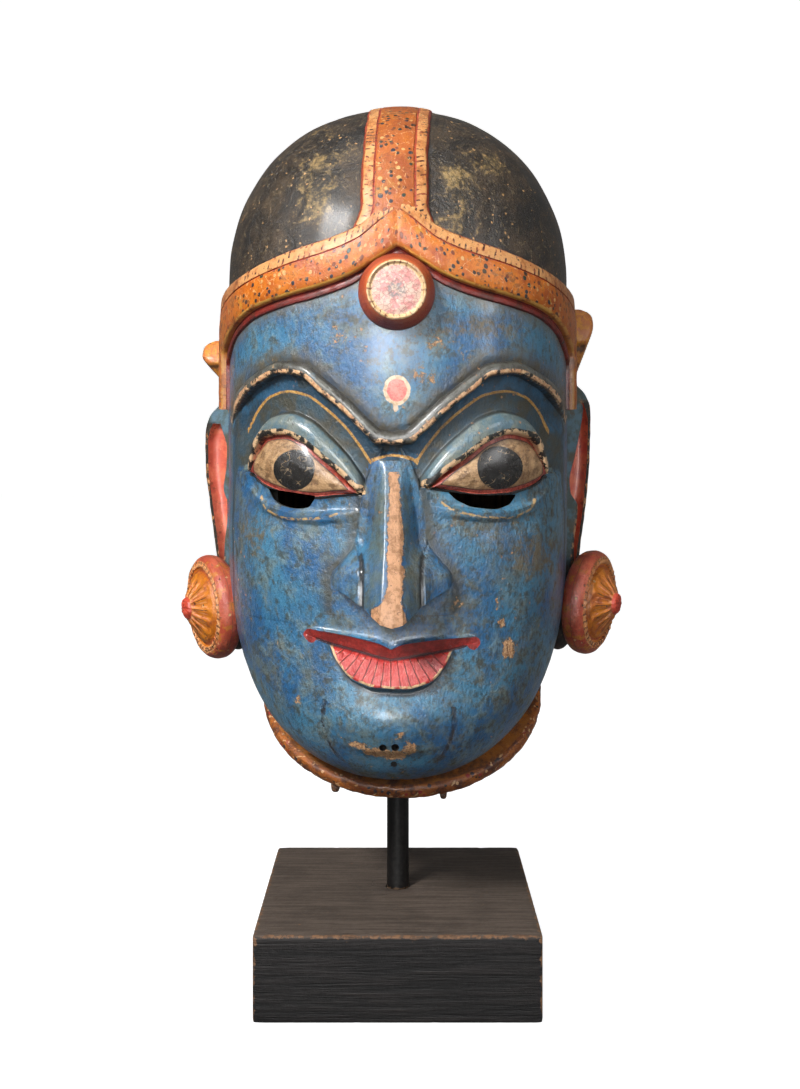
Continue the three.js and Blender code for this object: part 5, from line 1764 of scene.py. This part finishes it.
def stained_plinth():
    """Black stained wood with level grain, rubbed brown at the edges. The top is lighter and browner than the sides:
    partly rubbed wood and partly a painted reflection.
    """
    s = Shader("stained plinth")
    grain = s.noise(2.4, 6.0, 0.68, s.stretched(0.045, 0.5, 1.0))
    fine_grain = s.noise(0.7, 4.0, 0.65, s.stretched(0.03, 0.6, 1.0))
    top_grain = s.noise(1.9, 6.0, 0.7, s.stretched(0.05, 1.0, 1.0))
    middle = s.noise(26.0, 5.0, 0.65)
    small = s.noise(3.0, 5.0, 0.7)
    on_top = s.field("top")
    side = s.mix(colour(11, 9, 9), colour(28, 24, 23), s.step(grain, 0.42, 0.66))
    side = s.mix(side, colour(46, 40, 37), s.step(fine_grain, 0.58, 0.68) * 0.4)
    # The top's lighter tones are partly a painted reflection, laid over its grain and blotches.
    top = s.mix(colour(72, 62, 54), colour(92, 80, 71), s.step(top_grain, 0.4, 0.62))
    top = s.mix(top, colour(46, 40, 36), s.step(middle, 0.44, 0.70) * 0.4)
    top = s.mix(top, colour(108, 92, 78), s.step(small + (middle - 0.5) * 0.5, 0.6, 0.72) * 0.45)
    base = s.mix(side, top, on_top)
    edge = s.field("edge")
    rubbed = s.step(edge + (s.noise(5.0, 5.0, 0.7) - 0.5) * 2.4, 0.62, 0.8)
    base = s.mix(
        base, s.mix(colour(128, 92, 62), colour(88, 64, 46), s.step(small, 0.44, 0.6)), rubbed * 0.8
    )
    holes = s.cells(11.0)
    pin = (1.0 - s.step(holes, 0.045, 0.07)) * s.step(s.noise(30.0, 2.0, 0.5), 0.5, 0.56)
    base = s.mix(base, colour(120, 84, 58), pin * 0.8)
    rough = s.fade(small, 0.3, 0.7, 0.5, 0.66) + on_top * 0.08
    return s.finish(base, rough, [
        (grain * 0.8 * (1.0 - on_top * 0.6) + small * 0.3, 0.9), (fine_grain * 0.4, 0.7),
    ], specular=0.3)


def black_rod():
    s = Shader("black steel")
    small = s.noise(2.0, 5.0, 0.65)
    base = s.mix(colour(17, 16, 16), colour(30, 28, 27), s.step(small, 0.4, 0.66))
    near_foot = s.field("near_foot")
    base = s.mix(
        base, colour(108, 84, 62), s.step(near_foot + (small - 0.5) * 0.8, 0.75, 0.95) * 0.7
    )
    s.surface.inputs["Metallic"].default_value = 0.35
    return s.finish(base, s.fade(small, 0.3, 0.7, 0.34, 0.48), [(small * 0.15, 0.6)])


# ---- Pieces ----
NAIL_HOLES = ((-7.4, 146.6, 1.9), (-1.2, 146.8, 2.0), (-1.9, 136.4, 1.7))
SLIT_LEFT, SLIT_RIGHT = (-42.2, -64.8), (25.5, 58.5)
STUBS = ((-35.9, 2.4), (21.8, 1.9))
# Worn gold on the dome: (x, z, half width, half height, strength).
GOLD_PATCHES = [
    (-42, 430, 17, 24, 0.9), (-30, 450, 11, 11, 0.5), (30, 430, 13, 24, 0.8),
    (46, 444, 20, 8, 0.75),
    (-40, 462, 10, 10, 0.5), (30, 410, 18, 14, 0.5),
]


def store(mesh, name, values, domain="CORNER"):
    layer = mesh.attributes.new(name, "FLOAT", domain)
    layer.data.foreach_set("value", values.astype(np.float32))


def places_of(mesh):
    """A mesh's vertex places, in metres."""
    places = np.zeros(len(mesh.vertices) * 3, np.float32)
    mesh.vertices.foreach_get("co", places)
    return places.reshape(-1, 3)


def shade(mesh, angle):
    mesh.polygons.foreach_set("use_smooth", np.ones(len(mesh.polygons), bool))
    mesh.set_sharp_from_angle(angle=math.radians(angle))


def make_mask():
    face, dome, inside, dark = face_paint(), dome_paint(), bare_inside(), hole_shade()
    mask = make_head(face, dome)
    combine(mask, tilted_block(JAW_GAP, 400.0, face), "DIFFERENCE")
    combine(mask, make_nose(face), "UNION")
    combine(mask, make_strap(band_paint("crown strap", True)), "UNION")
    combine(mask, make_diadem(band_paint("hair band", False)), "UNION")
    combine(mask, make_medallion(medallion_paint()), "UNION")
    collar = collar_paint()
    combine(mask, make_collar(collar), "UNION")
    for along, size in STUBS:
        foot = tilted(np.array([along, -math.sqrt(STUB_RADIUS ** 2 - along ** 2), STUB_Z]))
        combine(mask, make_stub(foot, size, collar), "UNION")
    rim, red, lobe, tab, disc = ear_rim_paint(), ear_red_paint(), lobe_paint(), tab_paint(), disc_paint()
    for side in (-1.0, 1.0):
        combine(mask, make_ear(side, rim, red), "UNION")
        combine(mask, make_lobe(side, lobe), "UNION")
        combine(mask, make_disc(side, disc), "UNION")
        combine(mask, make_tab(side, tab), "UNION")
    hollow = hollow_cut(inside)
    combine(hollow, tilted_block(JAW_GAP + 10, 400.0, inside), "DIFFERENCE")
    combine(mask, hollow, "DIFFERENCE")
    combine(mask, neck_hole(inside), "DIFFERENCE")
    # The slits and nail holes are cut with the painted hole shade on their walls.
    combine(mask, slit_cut(*SLIT_LEFT, slit_left_top, slit_left_foot, dark), "DIFFERENCE")
    combine(mask, slit_cut(*SLIT_RIGHT, slit_right_top, slit_right_foot, dark), "DIFFERENCE")
    for x, z, radius in NAIL_HOLES:
        combine(mask, drilled(x, z, radius, dark), "DIFFERENCE")
    mesh = mask.data
    mesh.name = "carved_mask"
    corners = len(mesh.loops)
    laid = np.zeros(corners * 2, np.float32)
    mesh.uv_layers["Pattern"].data.foreach_get("uv", laid)
    laid = laid.reshape(-1, 2).astype(float)
    vertex = np.zeros(corners, np.int32)
    mesh.loops.foreach_get("vertex_index", vertex)
    places = places_of(mesh).astype(float)[vertex] / MM
    slots = np.zeros(len(mesh.polygons), np.int32)
    mesh.polygons.foreach_get("material_index", slots)
    totals = np.zeros(len(mesh.polygons), np.int32)
    mesh.polygons.foreach_get("loop_total", totals)
    names = [material.name for material in mesh.materials]
    on_face = np.repeat(slots == names.index(face.name), totals)
    x = np.where(on_face, laid[:, 0], places[:, 0])
    z = np.where(on_face, laid[:, 1], places[:, 2])
    for name, values in paint_fields(x, z, places[:, 1]).items():
        store(mesh, name, values)
    gold = spots(places[:, 0], places[:, 2], GOLD_PATCHES)
    store(mesh, "gold_patch", np.where(places[:, 1] < 10, gold, -1.0))
    shade(mesh, 38)
    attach(mask, "root")
    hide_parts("mask")
    return mask


def make_plinth():
    """The plinth: rounded-square rings up its outside, over its top and down the rod's socket."""
    low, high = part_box("plinth")
    half, height = (high.x - low.x) / 2 / MM, high.z / MM
    socket_radius, socket_y, socket_floor = 6.55, 3.0, 15.0
    around = 288
    angle = np.arange(around) / around * 2 * np.pi
    reach = np.maximum(np.abs(np.cos(angle)), np.abs(np.sin(angle)))
    direction = np.stack([np.cos(angle), np.sin(angle)], -1)

    def square(size, corner):
        """A square of this half size with rounded corners, met along rays from its middle."""
        flat = direction / reach[:, None]
        soft = direction / np.power(np.sum(np.abs(direction) ** corner, 1), 1.0 / corner)[:, None]
        return mix(flat, soft, 0.85) * size

    rows = [
        (half - 1.4, 0.0), (half - 0.5, 0.25), (half - 0.1, 0.9), (half, 1.8), (half, 8.0),
        (half, 15.0), (half, 22.0),
        (half, 30.0), (half, 37.0), (half, height - 2.0), (half - 0.1, height - 1.0),
        (half - 0.5, height - 0.3),
        (half - 1.3, height), (half - 4.0, height), (half - 12, height), (half - 25, height),
        (half - 40, height),
    ]
    rings = []
    for size, z in rows:
        flat = square(size, 90.0)
        near_edge = np.exp(-((z - height) / 2.5) ** 2) * (size > half - 2) + np.exp(
            -(z / 2.0) ** 2
        ) * (size > half - 2)
        nick = 0.5 * np.maximum(
            0.0, ripple(flat[:, 0] * 0.35, flat[:, 1] * 0.41, 3) - 0.45
        ) * near_edge
        flat = flat * (1.0 - nick / half)[:, None]
        rings.append(np.column_stack([flat, np.full(around, z) - nick * (z > 20) * 0.6]))
    for share in (0.35, 0.7, 1.0):
        flat = mix(
            square(half - 40, 90.0), direction * (socket_radius + 0.5) + np.array([0, socket_y]),
            share
        )
        rings.append(np.column_stack([flat, np.full(around, height)]))
    for radius, z in (
        (socket_radius, height - 0.5), (socket_radius, height - 10), (socket_radius, socket_floor)
    ):
        rings.append(
            np.column_stack([direction * radius + np.array([0, socket_y]), np.full(around, z)])
        )
    rings = np.array(rings)
    ends = (np.array([0.0, 0.0, 0.0]), np.array([0.0, socket_y, socket_floor]))
    plinth = skin("stand_plinth", rings, [stained_plinth()], ends=ends)
    mesh = plinth.data
    x, y, z = places_of(mesh).T / MM
    store(mesh, "top", smooth(z, height - 1.5, height - 0.2), "POINT")
    outer = np.maximum(np.abs(x), np.abs(y))
    gaps = np.stack([half - outer, half - np.minimum(np.abs(x), np.abs(y)), height - z])
    gaps.sort(axis=0)
    store(mesh, "edge", 1.0 - smooth(gaps[0] + gaps[1], 0.2, 3.2), "POINT")
    shade(mesh, 50)
    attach(plinth, "root")
    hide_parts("plinth")


def make_rod():
    """The round steel post, its ends eased."""
    low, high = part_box("rod")
    radius, y = (high.x - low.x) / 2 / MM, (high.y + low.y) / 2 / MM
    foot, top = low.z / MM, high.z / MM
    heights = np.concatenate(
        [[foot, foot + 0.6], np.arange(foot + 3, top - 2, 3.0), [top - 0.6, top]]
    )
    radii = np.full(heights.shape, radius)
    radii[[0, -1]] = radius - 0.6
    angle = np.arange(64) / 64 * 2 * np.pi
    x = radii[:, None] * np.cos(angle)
    rings = np.stack(
        np.broadcast_arrays(x, radii[:, None] * np.sin(angle) + y, heights[:, None]), -1
    )
    rod = skin("stand_rod", rings, [black_rod()])
    mesh = rod.data
    z = places_of(mesh)[:, 2] / MM
    store(mesh, "near_foot", 1.0 - smooth(z, 44.5, 49.0), "POINT")
    shade(mesh, 40)
    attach(rod, "root")
    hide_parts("rod")


# ---- Stage, light and camera ----
def plain(name, tone, glow, rough):
    material = bpy.data.materials.new(name)
    material.use_nodes = True
    surface = material.node_tree.nodes["Principled BSDF"]
    surface.inputs["Base Color"].default_value = tone
    surface.inputs["Roughness"].default_value = rough
    surface.inputs["Emission Color"].default_value = (1.0, 1.0, 1.0, 1.0)
    surface.inputs["Emission Strength"].default_value = glow
    surface.inputs["Specular IOR Level"].default_value = 0.1
    return material


def softbox(name, place, target, size, power, sheen_only=False):
    """A soft rectangular lamp. One that is sheen only shows in the varnish and adds no light."""
    light = bpy.data.lights.new(name, "AREA")
    light.shape = "RECTANGLE"
    light.size, light.size_y = size
    light.energy = power
    made = bpy.data.objects.new(name, light)
    bpy.context.scene.collection.objects.link(made)
    made.visible_diffuse = not sheen_only
    made.location = place
    aim = Vector(target) - Vector(place)
    made.rotation_mode = "QUATERNION"
    made.rotation_quaternion = aim.to_track_quat("-Z", "Y")


def sheet(name, corners, material, shades):
    """A flat part of the stage. It gives the object no fill light and doesn't show in its varnish."""
    mesh = bpy.data.meshes.new(name)
    mesh.from_pydata(corners, [], [(0, 1, 2, 3)])
    mesh.materials.append(material)
    made = bpy.data.objects.new(name, mesh)
    made.visible_diffuse = False
    made.visible_glossy = False
    made.visible_shadow = shades
    bpy.context.scene.collection.objects.link(made)


ROOM_LIGHT, FLOOR_GLOW = 0.15, 0.955


def set_stage():
    size = 12.0
    level = [(-size, -size, 0), (size, -size, 0), (size, size, 0), (-size, size, 0)]
    sheet("floor", level, plain("pale floor", (0.3, 0.3, 0.3, 1.0), FLOOR_GLOW, 0.9), True)
    pale = plain("pale backdrop", (0.8, 0.8, 0.8, 1.0), 0.87, 0.9)
    back = size * 0.5
    for i in range(4):
        turn = i * math.pi / 2
        c, w = math.cos(turn), math.sin(turn)
        flat = [(-back, back, -1), (back, back, -1), (back, back, size), (-back, back, size)]
        sheet(
            f"backdrop {i + 1}", [(x * c - y * w, x * w + y * c, z) for x, y, z in flat], pale,
            False
        )
    world = bpy.data.worlds.new("pale room")
    world.use_nodes = True
    world.node_tree.nodes["Background"].inputs["Color"].default_value = (1.0, 1.0, 1.0, 1.0)
    world.node_tree.nodes["Background"].inputs["Strength"].default_value = ROOM_LIGHT
    bpy.context.scene.world = world
    centre = (0.0, -0.03, 0.30)
    softbox("key", (-0.66, -0.98, 1.06), centre, (0.26, 0.30), 29.0)
    softbox("right", (0.92, -0.80, 0.62), centre, (0.22, 0.42), 3.4)
    softbox("top", (-0.1, -0.2, 1.5), centre, (0.6, 0.5), 2.2)
    softbox("front", (0.1, -1.7, 0.5), centre, (0.8, 0.6), 2.2)
    softbox("sheen", (-0.15, -1.42, 0.50), centre, (0.34, 0.50), 14.0, True)
    view = bpy.context.scene.view_settings
    view.view_transform = "Standard"
    view.look = "None"
    view.exposure = 0.0
    camera = bpy.data.cameras.new("camera")
    camera.lens = 44.5
    camera.sensor_width = 36.0
    camera.sensor_fit = "AUTO"
    camera.shift_y = -0.1014
    camera.clip_start, camera.clip_end = 0.01, 60.0
    made = bpy.data.objects.new("camera", camera)
    bpy.context.scene.collection.objects.link(made)
    made.location = (0.0012, -0.768, 0.3035)
    made.rotation_euler = (math.pi / 2, 0.0, 0.0)
    bpy.context.scene.camera = made


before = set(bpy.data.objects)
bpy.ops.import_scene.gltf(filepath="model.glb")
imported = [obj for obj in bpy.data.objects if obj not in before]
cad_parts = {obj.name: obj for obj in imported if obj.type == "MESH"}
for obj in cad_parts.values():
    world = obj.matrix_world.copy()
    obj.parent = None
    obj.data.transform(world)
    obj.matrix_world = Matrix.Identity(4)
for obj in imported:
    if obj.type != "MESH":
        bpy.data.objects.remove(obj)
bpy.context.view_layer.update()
make_mask()
make_rod()
make_plinth()
set_stage()
